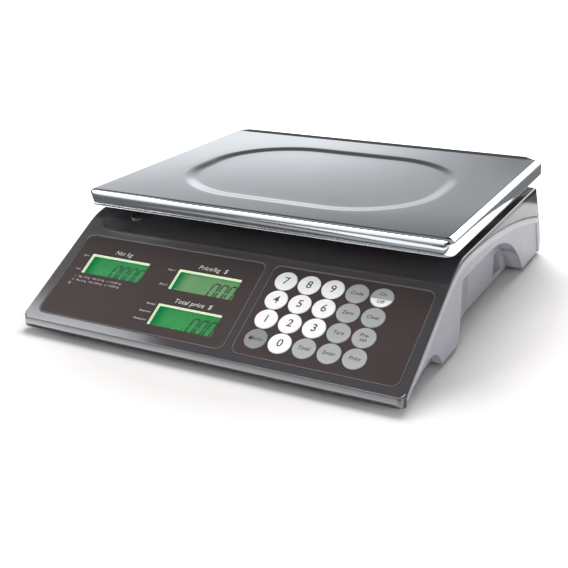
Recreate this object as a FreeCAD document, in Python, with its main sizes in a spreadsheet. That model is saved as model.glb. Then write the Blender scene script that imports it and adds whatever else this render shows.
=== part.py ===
import FreeCAD, Part
import math
import os

import Sketcher

# Retail price scale. X runs to the operator's right, Y away from the operator, Z up.
# The origin is on the table under the middle of the housing.

DOC = FreeCAD.newDocument("retail_price_scale")
VECTOR = FreeCAD.Vector

DRIVING_SIZES = [
    # housing
    ("body_width", 335.5, "housing, left to right at its foot"),
    ("body_depth", 368, "housing, front lip to rear foot"),
    ("ground_gap", 4, "table to the housing's lower edge"),
    ("wall", 2.8, "housing wall"),
    ("draft_angle", 1.5, "lean of the moulded side walls, degrees"),
    ("plan_corner", 6, "corner radius of the housing seen from above"),
    ("lip_height", 7.8, "front lip below the console"),
    ("console_angle", 29.7, "console slope, degrees"),
    ("deck_height", 74, "table to the deck under the tray"),
    ("console_blend", 60, "radius between console and deck"),
    ("lip_round", 1.5, "rounding of the front lip"),
    ("rear_round", 4, "rounding of the deck's rear edge"),
    ("rear_lean_angle", 29, "lean of the upper rear wall, degrees"),
    ("rear_foot_lean", 12.5, "run-out of the lower rear wall"),
    ("seam_drop", 2.5, "seam below the console surface"),
    ("seam_below_deck", 3, "seam's crest below the deck"),
    ("seam_blend", 90, "radius of the seam at the top of the slope"),
    ("rear_wall_drop", 33.85, "deck to the seam's rear end"),
    ("seam_gap", 1, "shadow gap between the two housings"),
    ("lip_wrap", 4.5, "cover's lip seen from the side"),
    ("floor_lift", 2, "floor above the housing's lower edge"),
    ("floor_thickness", 2.5, "floor of the base"),
    ("side_relief", 1, "depth of the recessed side panels"),
    ("seam_band", 6, "raised band below the seam"),
    ("rear_band", 9, "raised band along the rear edge"),
    # hand-grip scoops and front arches in the sides
    ("grip_depth", 16.5, "scoop depth"),
    ("grip_start", 97, "front lip to where the side wall starts to sweep inwards"),
    ("grip_sweep", 89, "length over which the side wall sweeps inwards"),
    ("grip_below_deck", 19, "top of the scoop below the deck"),
    ("grip_crest_back", 167, "rear foot to where the scoop's arch starts to fall"),
    ("grip_radius", 130, "radius of the scoop's arch"),
    ("notch_depth", 10, "front arch depth"),
    ("notch_crest", 19.6, "top of the front arch above the table"),
    ("notch_start_rise", 3.8, "front arch's rise at its front end"),
    ("notch_flat_front", 47, "front lip to the front end of the arch's flat top"),
    ("notch_flat_back", 54, "front lip to the rear end of the arch's flat top"),
    ("notch_back", 79.5, "front lip to the rear end of the front arch"),
    # console films and displays
    ("console_margin", 10.5, "housing edge to the display film"),
    ("keypad_margin", 8, "housing edge to the keypad film"),
    ("film_low", 8, "lip to the films' lower edge, along the slope"),
    ("film_height", 87.5, "films, along the slope"),
    ("film_share", 0.568438, "the display film's share of the two films' width"),
    ("film_rib", 6.5, "rib between the two films"),
    ("film_thickness", 0.8, "console films"),
    ("film_corner", 7, "corner radius of the films"),
    ("film_clearance", 0.15, "films in their seats"),
    ("window_width", 59, "display window"),
    ("window_height", 21.5, "display window"),
    ("window_corner", 1, "corner radius of a window"),
    ("pane_clearance", 0.1, "window pane in the film"),
    ("weight_inset", 45.45, "left edge of the display film to the weight display's centre"),
    ("price_inset", 43.55, "right edge of the display film to the price displays' centre"),
    ("upper_row", 64.8, "upper displays along the slope, centre"),
    ("lower_row", 28.2, "lower display along the slope, centre"),
    ("bezel_wall", 1.2, "display frame"),
    ("bezel_depth", 3.2, "display frame, film to glass"),
    ("bezel_clearance", 0.3, "display frame in the housing"),
    ("glass_margin", 2.5, "display glass beyond its window"),
    ("glass_thickness", 2, "display glass"),
    ("backlight_thickness", 3, "backlight behind the glass"),
    ("board_thickness", 1.6, "circuit boards"),
    ("post_radius", 3, "board posts"),
    # keypad
    ("key_radius", 9.15, "key cap"),
    ("key_proud", 0.6, "key cap above the film"),
    ("key_edge", 0.4, "bevel of a key cap"),
    ("key_depth", 1.2, "key cap below the film's surface"),
    ("key_stem", 4, "radius of the key's stem"),
    ("key_clearance", 0.3, "key cap in the film"),
    ("key_travel", 0.5, "travel of a key"),
    ("key_stop", 0.05, "pressed key to the switch board"),
    ("key_inset", 15.55, "left edge of the keypad film to the first key column"),
    ("keypad_board_margin", 5, "switch board beyond the last keys"),
    ("keypad_board_foot", 7.6, "switch board in front of the first row's centres"),
    ("key_pitch", 20, "key columns"),
    ("key_low", 24.1, "first key row along the slope"),
    ("key_row_pitch", 19.05, "key rows along the slope"),
    ("keypad_opening", 3, "housing opening beyond the key caps"),
    # customer display in the rear wall
    ("rear_margin", 22.75, "housing edge to the customer film"),
    ("rear_film_height", 29, "customer film"),
    ("rear_film_low", 4.5, "seam to the customer film"),
    ("rear_edge", 1, "customer film's end to its outer displays' share"),
    # tray
    ("tray_width", 332, "tray"),
    ("tray_depth", 268, "tray"),
    ("tray_setback", 8, "rear foot to the tray's rear edge"),
    ("tray_rise", 22.3, "deck to the tray's surface"),
    ("tray_lip", 13.6, "turned-down edge"),
    ("tray_round", 5, "rounding along the tray's edge"),
    ("tray_corner", 9, "corner radius of the tray seen from above"),
    ("tray_sheet", 1.2, "sheet thickness"),
    ("tray_rim_round", 6, "rolled rear rim"),
    ("tray_rim_rise", 1.3, "rolled rear rim above the tray's surface"),
    ("plateau_rise", 1, "raised middle of the tray"),
    ("plateau_half_width", 121.5, "raised middle at its foot"),
    ("plateau_half_depth", 93, "raised middle at its foot"),
    ("plateau_corner", 80, "corner radius of the raised middle"),
    ("plateau_slope", 12.5, "width of the raised middle's slope"),
    ("plateau_shift", -8.5, "raised middle forward of the tray's centre"),
    # weighing platform
    ("cell_length", 130, "load cell"),
    ("cell_width", 30, "load cell"),
    ("cell_height", 22, "load cell"),
    ("cell_end", 30, "clamped end of the load cell"),
    ("cell_bore", 7.5, "radius of the load cell's relief bores"),
    ("cell_bore_offset", 14, "relief bores from the load cell's middle"),
    ("cell_slot", 6, "height of the slot between the relief bores"),
    ("mount_height", 6, "block under the load cell"),
    ("spider_rise", 8, "deck to the spider"),
    ("spider_thickness", 6, "spider"),
    ("spider_hub_x", 76, "hub half width"),
    ("spider_hub_y", 34, "hub half depth"),
    ("spider_arm", 9, "half width of an arm"),
    ("pad_radius", 12, "corner pad of the spider"),
    ("pad_clearance", 0.6, "corner pad to the tray's wall"),
    ("buffer_radius", 9, "rubber buffer"),
    ("shaft_opening", 5, "deck opening around the column"),
    ("collar_wall", 5, "splash collar around the opening"),
    ("collar_rise", 2.5, "splash collar above the deck"),
    ("stop_gap", 0.6, "overload stop to the load cell"),
    ("bolt_radius", 3, "platform and load cell bolts"),
    ("bolt_head_radius", 5, "bolt heads"),
    ("bolt_head", 3.5, "bolt head height"),
    ("bolt_spacing", 14, "bolts at one end of the load cell"),
    ("bolt_reach", 12, "bolt engagement in the load cell"),
    ("bolt_clearance", 0.1, "around bolts and screws"),
    # feet, screws, boards
    ("foot_inset", 32.75, "housing side to the feet"),
    ("foot_setback", 44, "front lip and rear foot to the feet"),
    ("foot_radius", 13, "rubber foot"),
    ("foot_height", 5.5, "rubber foot"),
    ("foot_cup", 3, "rubber under the stud"),
    ("stud_radius", 4, "foot stud"),
    ("stud_clearance", 0.08, "stud in its boss"),
    ("boss_radius", 9, "foot boss"),
    ("boss_height", 8, "foot boss"),
    ("stud_proud", 1, "stud beyond its boss"),
    ("column_radius", 4.5, "screw columns of the cover"),
    ("screw_radius", 1.75, "housing screws"),
    ("screw_head_radius", 3.5, "housing screw heads"),
    ("screw_head", 2.4, "housing screw heads"),
    ("screw_reach", 12, "screw thread in its column"),
    ("front_screw_inset", 20.75, "housing side to the front screw columns"),
    ("front_screw_setback", 9, "front lip to the front screw columns"),
    ("front_screw_reach", 4, "front screws in their short columns"),
    ("middle_screw_inset", 30.75, "housing side to the middle screw columns"),
    ("middle_screw_along", -20, "middle screw columns"),
    ("rear_screw_inset", 10.75, "housing side to the rear screw columns"),
    ("rear_screw_setback", 42, "rear foot to the rear screw columns"),
    ("board_width", 150, "main board"),
    ("board_depth", 70, "main board"),
    ("board_inset", 37.75, "housing side to the main board"),
    ("board_gap", 4, "load cell to the main board"),
    ("board_lift", 6, "main board above the floor"),
    ("board_screw_radius", 1.3, "board screws"),
    ("board_screw_inset", 6, "board screws from the board's edge"),
    ("converter_inset", 14, "power converter from the board's edges"),
    ("converter_width", 20, "power converter"),
    ("converter_height", 14, "power converter"),
    ("processor_across", 62, "processor from the board's left edge"),
    ("processor_along", 30, "processor from the board's front edge"),
    ("processor_width", 14, "processor"),
    ("processor_height", 1.6, "processor"),
    ("connector_left", 50, "connectors from the board's left edge"),
    ("connector_right", 20, "connectors from the board's right edge"),
    ("connector_along", 4, "connectors from the board's front edge"),
    ("connector_depth", 6, "connectors"),
    ("connector_height", 8, "connectors"),
    ("buzzer_across", 24, "buzzer from the board's right edge"),
    ("buzzer_along", 18, "buzzer from the board's rear edge"),
    ("buzzer_radius", 7, "buzzer"),
    ("buzzer_height", 9, "buzzer"),
    # bubble level and power inlet
    ("level_inset", 43.95, "housing side to the bubble level"),
    ("level_setback", 1, "console's top edge to the bubble level"),
    ("level_radius", 7.5, "bubble level ring"),
    ("level_drop", 1.4, "deck to the top of the bubble level"),
    ("level_wall", 1.5, "bubble level ring"),
    ("level_depth", 9, "bubble level ring"),
    ("level_rim", 2.5, "seat around the bubble level"),
    ("inlet_setback", 97, "rear foot to the power inlet"),
    ("inlet_level", 19.5, "power inlet above the table"),
    ("inlet_width", 23, "recess of the power inlet"),
    ("inlet_height", 20, "recess of the power inlet"),
    ("inlet_depth", 7, "recess of the power inlet"),
    ("jack_radius", 4.2, "power jack barrel"),
    ("jack_bore", 3.1, "power jack bore"),
    ("jack_pin", 1, "power jack pin"),
    ("jack_block", 12, "power jack body"),
    ("jack_proud", 2, "power jack barrel in the recess"),
]

MARGIN = 5.0  # how far cutting shapes reach past what they cut


class Size:
    """A length or angle: its present value and the spreadsheet expression that gives it."""

    def __init__(self, value, text):
        self.value = float(value)
        self.text = text

    def __add__(self, other):
        other = as_size(other)
        return Size(self.value + other.value, f"({self.text} + {other.text})")

    def __sub__(self, other):
        other = as_size(other)
        return Size(self.value - other.value, f"({self.text} - {other.text})")

    def __mul__(self, other):
        other = as_size(other)
        return Size(self.value * other.value, f"({self.text} * {other.text})")

    def __truediv__(self, other):
        other = as_size(other)
        return Size(self.value / other.value, f"({self.text} / {other.text})")

    def __neg__(self):
        return Size(-self.value, f"(0 - {self.text})")

    def __radd__(self, other):
        return as_size(other) + self

    def __rsub__(self, other):
        return as_size(other) - self

    def __rmul__(self, other):
        return as_size(other) * self


def as_size(item):
    if isinstance(item, Size):
        return item
    return Size(item, f"({float(item):.6g})")


def sine(angle):
    return Size(math.sin(math.radians(angle.value)), f"sin({angle.text})")


def cosine(angle):
    return Size(math.cos(math.radians(angle.value)), f"cos({angle.text})")


def tangent(angle):
    return Size(math.tan(math.radians(angle.value)), f"tan({angle.text})")


def root(size):
    return Size(math.sqrt(size.value), f"sqrt({size.text})")


def make_sheet():
    """Put the driving sizes in a spreadsheet and return them by name."""
    sheet = DOC.addObject("Spreadsheet::Sheet", "sizes")
    sizes = {}
    for row, (alias, value, note) in enumerate(DRIVING_SIZES, 1):
        sheet.set(f"A{row}", alias)
        sheet.set(f"B{row}", str(value))
        sheet.setAlias(f"B{row}", alias)
        sheet.set(f"C{row}", note)
        sizes[alias] = Size(value, f"sizes.{alias}")
    DOC.recompute()
    return sizes


S = make_sheet()

# ---------------------------------------------------------------- derived places

half_width = S["body_width"] / 2
front = -S["body_depth"] / 2
rear = S["body_depth"] / 2
base = S["ground_gap"]
floor_low = base + S["floor_lift"]
floor_top = floor_low + S["floor_thickness"]
below = base - MARGIN
slope = S["console_angle"]
lean = S["rear_lean_angle"]
lip_top = base + S["lip_height"]
tray_back = rear - S["tray_setback"]
tray_front = tray_back - S["tray_depth"]
tray_middle = tray_back - S["tray_depth"] / 2
tray_top = S["deck_height"] + S["tray_rise"]
spider_low = S["deck_height"] + S["spider_rise"]
level_top = S["deck_height"] - S["level_drop"]
level_across = -half_width + S["level_inset"]
level_along = front + (S["deck_height"] - lip_top) / tangent(slope) + S["level_setback"]
inlet_along = rear - S["inlet_setback"]
grip_crest = S["deck_height"] - S["grip_below_deck"]
grip_crest_back = rear - S["grip_crest_back"]

seam_foot = lip_top - S["seam_drop"]
seam_turn = S["seam_blend"] * tangent(slope / 2)
seam_top = S["deck_height"] - S["seam_below_deck"]
seam_corner = front + (seam_top - seam_foot) / tangent(slope)
seam_crest = seam_corner + seam_turn
seam_end = rear - S["rear_foot_lean"]
seam_end_height = S["deck_height"] - S["rear_wall_drop"]
seam_run = seam_end - seam_crest
seam_fall = seam_top - seam_end_height
seam_crown = (seam_run * seam_run + seam_fall * seam_fall) / (seam_fall * 2)


def seam_crown_height(along):
    """Height of the seam's falling stretch at a place behind the crest."""
    run = along - seam_crest
    return seam_top - seam_crown + root(seam_crown * seam_crown - run * run)


def seam_slope_height(along):
    """Height of the seam's straight front stretch."""
    return seam_foot + (along - front) * tangent(slope)


# ---------------------------------------------------------------- frames

class Frame:
    """A place and a tilt that pieces are built in."""

    def __init__(self, origin, along, normal, yaw, roll):
        self.origin = [as_size(item) for item in origin]
        self.along = [as_size(item) for item in along]
        self.normal = [as_size(item) for item in normal]
        self.across = as_size(-1 if yaw else 1)
        self.yaw = yaw
        self.roll = as_size(roll)

    def point(self, across, along, out):
        """World coordinates of a point of the frame."""
        across, along, out = as_size(across), as_size(along), as_size(out)
        return (self.origin[0] + across * self.across,
                self.origin[1] + along * self.along[1] + out * self.normal[1],
                self.origin[2] + along * self.along[2] + out * self.normal[2])

    def seat(self, obj, across, along, out):
        """Place an object of this frame, with its placement bound to the sizes."""
        place = self.point(across, along, out)
        obj.Placement = FreeCAD.Placement(VECTOR(*[item.value for item in place]),
                                          FreeCAD.Rotation(self.yaw, 0, self.roll.value))
        for axis, item in zip("xyz", place):
            obj.setExpression(f"Placement.Base.{axis}", item.text)
        if self.roll.value:
            obj.setExpression("Placement.Rotation.Roll", self.roll.text)


WORLD = Frame((0, 0, 0), (0, 1, 0), (0, 0, 1), 0, 0)
CONSOLE = Frame((0, front, lip_top), (0, cosine(slope), sine(slope)),
                (0, -sine(slope), cosine(slope)), 0, slope)
REAR = Frame((0, seam_end, seam_end_height), (0, -sine(lean), cosine(lean)),
             (0, cosine(lean), sine(lean)), 180, 90 - lean)


# ---------------------------------------------------------------- sketches and features

def plane_sketch(body, role, name):
    sketch = body.newObject("Sketcher::SketchObject", name)
    plane = next(item for item in body.Origin.OriginFeatures if item.Role == role)
    sketch.AttachmentSupport = (plane, [""])
    sketch.MapMode = "FlatFace"
    return sketch


def constrain(sketch, kind, target, size):
    number = sketch.addConstraint(Sketcher.Constraint(kind, *target, size.value))
    sketch.setExpression(f"Constraints[{number}]", size.text)


def arc_between(start, end, radius):
    """Arc under half a turn from start to end; a positive radius turns left."""
    side = 1 if radius > 0 else -1
    middle = (start + end) / 2
    chord = end - start
    rise = math.sqrt(radius * radius - chord.Length ** 2 / 4)
    centre = middle + VECTOR(-chord.y, chord.x, 0).normalize() * (side * rise)
    first, last = (start, end) if side > 0 else (end, start)
    angles = [math.atan2(item.y - centre.y, item.x - centre.x) for item in (first, last)]
    if angles[1] < angles[0]:
        angles[1] += 2 * math.pi
    return Part.ArcOfCircle(Part.Circle(centre, VECTOR(0, 0, 1), abs(radius)), *angles)


def outline(sketch, corners):
    """Closed outline; a corner's third item is the radius of the arc to the next corner."""
    corners = [tuple(as_size(item) for item in corner) for corner in corners]
    points = [VECTOR(corner[0].value, corner[1].value, 0) for corner in corners]
    ends = []
    for number, corner in enumerate(corners):
        start, end = points[number], points[(number + 1) % len(points)]
        if len(corner) == 3:
            sketch.addGeometry(arc_between(start, end, corner[2].value), False)
            ends.append((1, 2) if corner[2].value > 0 else (2, 1))
        else:
            sketch.addGeometry(Part.LineSegment(start, end), False)
            ends.append((1, 2))
    first = sketch.GeometryCount - len(corners)
    for number, corner in enumerate(corners):
        following = (number + 1) % len(corners)
        sketch.addConstraint(Sketcher.Constraint("Coincident", first + number, ends[number][1],
                                                 first + following, ends[following][0]))
    for number, corner in enumerate(corners):
        target = (-1, 1, first + number, ends[number][0])
        constrain(sketch, "DistanceX", target, corner[0])
        constrain(sketch, "DistanceY", target, corner[1])
        if len(corner) == 3:
            radius = corner[2] if corner[2].value > 0 else -corner[2]
            constrain(sketch, "Radius", (first + number,), radius)


def rounded_rectangle(sketch, left, right, low, high, radius):
    outline(sketch, [(left + radius, low), (right - radius, low, radius),
                     (right, low + radius), (right, high - radius, radius),
                     (right - radius, high), (left + radius, high, radius),
                     (left, high - radius), (left, low + radius, radius)])


def circle(sketch, across, along, radius):
    centre = VECTOR(across.value, along.value, 0)
    number = sketch.addGeometry(Part.Circle(centre, VECTOR(0, 0, 1), radius.value), False)
    constrain(sketch, "DistanceX", (-1, 1, number, 3), across)
    constrain(sketch, "DistanceY", (-1, 1, number, 3), along)
    constrain(sketch, "Radius", (number,), radius)


def pad(body, sketch, length, name, taper=None, symmetric=False):
    feature = body.newObject("PartDesign::Pad", name)
    feature.Profile = sketch
    feature.setExpression("Length", as_size(length).text)
    feature.Midplane = symmetric
    if taper is not None:
        feature.setExpression("TaperAngle", taper.text)
    return feature


def new_body(name):
    return DOC.addObject("PartDesign::Body", name)


def plate(name, frame, left, right, low, high, radius, under, over, holes=()):
    """Rounded plate in a frame, with rectangular or round holes in its sketch."""
    body = new_body(name)
    sketch = plane_sketch(body, "XY_Plane", f"{name}_outline")
    rounded_rectangle(sketch, as_size(left), as_size(right), as_size(low), as_size(high),
                      as_size(radius))
    for hole in holes:
        if len(hole) == 3:
            circle(sketch, *[as_size(item) for item in hole])
        else:
            rounded_rectangle(sketch, *[as_size(item) for item in hole])
    pad(body, sketch, as_size(over) - under, f"{name}_pad")
    frame.seat(body, 0, 0, under)
    return body


def rod(name, frame, across, along, radius, under, over):
    obj = DOC.addObject("Part::Cylinder", name)
    obj.setExpression("Radius", as_size(radius).text)
    obj.setExpression("Height", (as_size(over) - under).text)
    frame.seat(obj, across, along, under)
    return obj


def block(name, frame, left, right, low, high, under, over):
    obj = DOC.addObject("Part::Box", name)
    obj.setExpression("Length", (as_size(right) - left).text)
    obj.setExpression("Width", (as_size(high) - low).text)
    obj.setExpression("Height", (as_size(over) - under).text)
    frame.seat(obj, left, low, under)
    return obj


def turned(name, frame, across, along, profile, under=0):
    """Turned piece about the frame's normal; the profile is (radius, height) corners."""
    body = new_body(name)
    sketch = plane_sketch(body, "XZ_Plane", f"{name}_profile")
    outline(sketch, profile)
    feature = body.newObject("PartDesign::Revolution", f"{name}_turn")
    feature.Profile = sketch
    feature.ReferenceAxis = (sketch, ["V_Axis"])
    feature.Angle = 360
    frame.seat(body, across, along, under)
    return body


def extruded(name, corners, width):
    """Profile in the YZ plane, extruded both ways from the middle plane."""
    body = new_body(name)
    sketch = plane_sketch(body, "YZ_Plane", f"{name}_profile")
    outline(sketch, corners)
    pad(body, sketch, width, f"{name}_pad", symmetric=True)
    return body


def fuse(name, shapes):
    obj = DOC.addObject("Part::MultiFuse", name)
    obj.Shapes = shapes
    obj.Refine = True
    return obj


def group(name, shapes):
    obj = DOC.addObject("Part::Compound", name)
    obj.Links = shapes
    return obj


def cut(name, solid, tool):
    obj = DOC.addObject("Part::Cut", name)
    obj.Base = solid
    obj.Tool = tool
    obj.Refine = True
    return obj


def common(name, first, second):
    obj = DOC.addObject("Part::Common", name)
    obj.Base = first
    obj.Tool = second
    obj.Refine = True
    return obj


def mirrored(name, source):
    obj = DOC.addObject("Part::Mirroring", name)
    obj.Source = source
    obj.Base = VECTOR(0, 0, 0)
    obj.Normal = VECTOR(1, 0, 0)
    return obj


def both_sides(name, source):
    return fuse(name, [source, mirrored(f"{name}_left", source)])


# ---------------------------------------------------------------- housing forms

def housing_form(name, inset, low, high):
    """Drafted block with the housing's plan outline, inset from its outer faces."""
    drawn_in = inset + (low - base) * tangent(S["draft_angle"])
    body = new_body(name)
    sketch = plane_sketch(body, "XY_Plane", f"{name}_plan")
    rounded_rectangle(sketch, -half_width + drawn_in, half_width - drawn_in,
                      front + drawn_in, rear - drawn_in, S["plan_corner"] - inset)
    pad(body, sketch, high - low, f"{name}_pad", taper=-S["draft_angle"])
    WORLD.seat(body, 0, 0, low)
    return body


def seam_forward(shift):
    """The seam from its rear end to the foot of its slope, moved up by shift."""
    end = seam_end
    return [(end, seam_crown_height(end) + shift, seam_crown),
            (seam_crest, seam_top + shift, S["seam_blend"]),
            (seam_corner - seam_turn * cosine(slope),
             seam_top - seam_turn * sine(slope) + shift)]


def seam_backward(shift):
    """The same stretch drawn from the front to the rear."""
    points = seam_forward(shift)
    return [(points[2][0], points[2][1], -S["seam_blend"]),
            (points[1][0], points[1][1], -seam_crown),
            (seam_end - shift * tangent(lean), points[0][1])]


def rear_wall_top(inset):
    """Deck and upper rear wall meet here, each moved inwards by inset."""
    height = S["deck_height"] - inset
    along = seam_end - (height - seam_end_height) * tangent(lean) - inset / cosine(lean)
    return along, height


def console_corner(inset):
    """Console and deck meet here before the blend, each moved inwards by inset."""
    height = S["deck_height"] - inset
    along = front + (height - lip_top + inset / cosine(slope)) / tangent(slope)
    return along, height


def top_outline(inset, rear_radius):
    """Upper rear wall, deck and console, from the rear to the front."""
    rear_along, height = rear_wall_top(inset)
    rear_turn = rear_radius * tangent((90 - lean) / 2)
    corner, _ = console_corner(inset)
    radius = S["console_blend"] - inset
    turn = radius * tangent(slope / 2)
    return [(rear_along + rear_turn * sine(lean), height - rear_turn * cosine(lean), rear_radius),
            (rear_along - rear_turn, height),
            (corner + turn, height, radius),
            (corner - turn * cosine(slope), height - turn * sine(slope))]


def cover_section():
    """Side outline of the cover: lip, console, deck, rear wall and the seam below them."""
    shift = S["seam_gap"] / 2
    wrap = front + S["lip_wrap"]
    turn = S["lip_round"] * tangent((90 - slope) / 2)
    corners = [(front, base), (wrap, base), (wrap, seam_slope_height(wrap) + shift)]
    corners += seam_backward(shift)
    corners += top_outline(as_size(0), S["rear_round"])
    corners += [(front + turn * cosine(slope), lip_top + turn * sine(slope), S["lip_round"]),
                (front, lip_top - turn)]
    return extruded("cover_section", corners, S["body_width"] + MARGIN)


def base_section(name, shift):
    """Side outline of the base below the seam, with its top moved up by shift."""
    start = front + S["lip_wrap"] + S["bezel_clearance"]
    corners = [(start, base), (rear, base)]
    corners += seam_forward(shift)
    corners += [(start, seam_slope_height(start) + shift)]
    return extruded(name, corners, S["body_width"] + MARGIN)


def hollow_section():
    """Side outline of the space inside the cover."""
    inset = S["wall"]
    rear_foot = rear - inset
    corners = [(front + inset, floor_top),
               (rear_foot, floor_top),
               (seam_end - inset / cosine(lean), seam_end_height)]
    corners += top_outline(inset, S["rear_round"] / 2)
    corners += [(front + inset, lip_top + inset * tangent(slope) - inset / cosine(slope))]
    return extruded("hollow_section", corners, S["body_width"] + MARGIN)


def base_hollow_section():
    """Side outline of the space inside the base, open at the top and in front."""
    inset = S["wall"]
    corners = [(front, floor_top),
               (rear - inset, floor_top),
               (seam_end - inset / cosine(lean), seam_end_height),
               (seam_end - inset / cosine(lean), S["deck_height"]),
               (front, S["deck_height"])]
    return extruded("base_hollow_section", corners, S["body_width"] + MARGIN)


def scoop_tool(name, grow):
    """Both hand-grip scoops, grown by a wall where they are kept clear of the hollow."""
    outside = half_width + MARGIN
    start = front + S["grip_start"]
    full = start + S["grip_sweep"]
    depth, run = S["grip_depth"], full - start
    sweep = (depth * depth + run * run) / (4 * depth)
    body = new_body(f"{name}_plan")
    sketch = plane_sketch(body, "XY_Plane", f"{name}_plan_outline")
    outline(sketch, [(half_width - grow, start, sweep),
                     (half_width - grow - depth / 2, (start + full) / 2, -sweep),
                     (half_width - grow - depth, full),
                     (half_width - grow - depth, rear),
                     (outside, rear),
                     (outside, start)])
    pad(body, sketch, S["deck_height"] - below, f"{name}_plan_pad")
    WORLD.seat(body, 0, 0, below)
    radius = S["grip_radius"] + grow
    drop = grip_crest + grow - below
    reach = root(radius * radius - (radius - drop) * (radius - drop))
    arch = extruded(f"{name}_arch", [(start - MARGIN, below),
                                     (grip_crest_back + reach, below, radius),
                                     (grip_crest_back, grip_crest + grow),
                                     (start - MARGIN, grip_crest + grow)],
                    S["body_width"] + 4 * MARGIN)
    return common(name, both_sides(f"{name}_pair", body), arch)


def notch_tool(name, grow):
    """Both front arches."""
    start = front + S["lip_wrap"] - grow
    back, crest = (front + S["notch_back"]) + grow, S["notch_crest"] + grow
    run, rise = back - (front + S["notch_flat_back"]), crest - base
    radius = (run * run + rise * rise) / (2 * rise)
    arch = extruded(f"{name}_arch", [(start, below), (back, below), (back, base, radius),
                                     (front + S["notch_flat_back"], crest),
                                     (front + S["notch_flat_front"], crest),
                                     (start, base + S["notch_start_rise"] + grow)],
                    S["body_width"] + 4 * MARGIN)
    side = block(f"{name}_side", WORLD, half_width - S["notch_depth"] - grow, half_width + MARGIN,
                 front, back + MARGIN, below, crest + MARGIN)
    return common(name, both_sides(f"{name}_pair", side), arch)


def side_relief():
    """Thin cut that leaves the raised bands below the seam and along the rear edge."""
    shift = -S["seam_band"]
    edge = seam_end - S["rear_band"]
    seam = seam_forward(shift)
    corners = [(front, below), (rear - S["rear_band"], below),
               (edge, seam_crown_height(edge) + shift, seam_crown),
               seam[1], seam[2],
               (front, seam_slope_height(front) + shift)]
    region = extruded("relief_region", corners, S["body_width"] + 2 * MARGIN)
    core = housing_form("relief_core", S["side_relief"], below - 1, S["deck_height"])
    return cut("relief_tool", region, core)


def inlet_box(name, grow, depth):
    """Box around the power inlet's recess, opening into the right-hand scoop."""
    wall_face = half_width - S["grip_depth"]
    return block(name, WORLD, wall_face - depth, wall_face + MARGIN / 2,
                 inlet_along - S["inlet_width"] / 2 - grow,
                 inlet_along + S["inlet_width"] / 2 + grow,
                 S["inlet_level"] - S["inlet_height"] / 2 - grow,
                 S["inlet_level"] + S["inlet_height"] / 2 + grow)


# ---------------------------------------------------------------- places that pieces share

SCREW_PLACES = {
    "front": (half_width - S["front_screw_inset"], front + S["front_screw_setback"], S["front_screw_reach"]),
    "middle": (half_width - S["middle_screw_inset"], S["middle_screw_along"], S["screw_reach"]),
    "rear": (half_width - S["rear_screw_inset"], rear - S["rear_screw_setback"], S["screw_reach"]),
}
foot_across = half_width - S["foot_inset"]
foot_along = rear - S["foot_setback"]
FEET = {
    "front_left": (-foot_across, -foot_along),
    "front_right": (foot_across, -foot_along),
    "rear_left": (-foot_across, foot_along),
    "rear_right": (foot_across, foot_along),
}
KEY_ROWS = [
    ["memory", "0", "total", "enter", "receipt"],
    ["1", "2", "3", "tare", "preset"],
    ["4", "5", "6", "zero", "clear"],
    ["7", "8", "9", "code", "power"],
]

display_left = -half_width + S["console_margin"]
films_width = S["body_width"] - S["console_margin"] - S["keypad_margin"] - S["film_rib"]
display_right = display_left + films_width * S["film_share"]
keypad_left = display_right + S["film_rib"]
keypad_right = half_width - S["keypad_margin"]
weight_across = display_left + S["weight_inset"]
price_across = display_right - S["price_inset"]
rear_film_width = S["body_width"] - 2 * S["rear_margin"]
rear_pitch = (rear_film_width - 2 * S["rear_edge"]) / 3
film_top = S["film_low"] + S["film_height"]
window_centres = {
    "weight": (weight_across, S["upper_row"]),
    "unit_price": (price_across, S["upper_row"]),
    "total_price": (price_across, S["lower_row"]),
}
glass_front = -S["film_thickness"] - S["bezel_depth"]
glass_back = glass_front - S["glass_thickness"]
light_back = glass_back - S["backlight_thickness"]
display_posts = [
    (display_left + 10.5, S["film_low"] + 22),
    (display_left + 10.5, film_top - 11.5),
    ((weight_across + price_across) / 2, (S["upper_row"] + S["lower_row"]) / 2),
    (display_right - 5.5, (S["upper_row"] + S["lower_row"]) / 2),
]
cell_left = -S["cell_length"] / 2
cell_right = S["cell_length"] / 2
cell_low = floor_top + S["mount_height"]
cell_top = cell_low + S["cell_height"]
cell_front = tray_middle - S["cell_width"] / 2
cell_back = tray_middle + S["cell_width"] / 2
fixed_end = cell_left + S["cell_end"] / 2
free_end = cell_right - S["cell_end"] / 2
spider_top = spider_low + S["spider_thickness"]
tray_under = tray_top - S["tray_sheet"]
arm_across = S["tray_width"] / 2 - S["tray_sheet"] - S["pad_clearance"] - S["pad_radius"]
arm_along = S["tray_depth"] / 2 - S["tray_sheet"] - S["pad_clearance"] - S["pad_radius"]
board_low = floor_top + S["board_lift"]
board_left = -half_width + S["board_inset"]
board_right = board_left + S["board_width"]
board_front = cell_back + S["board_gap"]
board_back = board_front + S["board_depth"]
board_screws = [(across, along)
                for across in (board_left + S["board_screw_inset"], board_right - S["board_screw_inset"])
                for along in (board_front + S["board_screw_inset"], board_back - S["board_screw_inset"])]


def window(centre, grow):
    """Sides and corner radius of a display window grown by a margin."""
    across, along = centre
    return (across - S["window_width"] / 2 - grow, across + S["window_width"] / 2 + grow,
            along - S["window_height"] / 2 - grow, along + S["window_height"] / 2 + grow,
            S["window_corner"])


def rear_centres():
    middle = S["rear_film_low"] + S["rear_film_height"] / 2
    return [(number * rear_pitch, middle) for number in (-1, 0, 1)]


def key_place(column, row):
    return (keypad_left + S["key_inset"] + column * S["key_pitch"], S["key_low"] + row * S["key_row_pitch"])


# ---------------------------------------------------------------- housings

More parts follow.
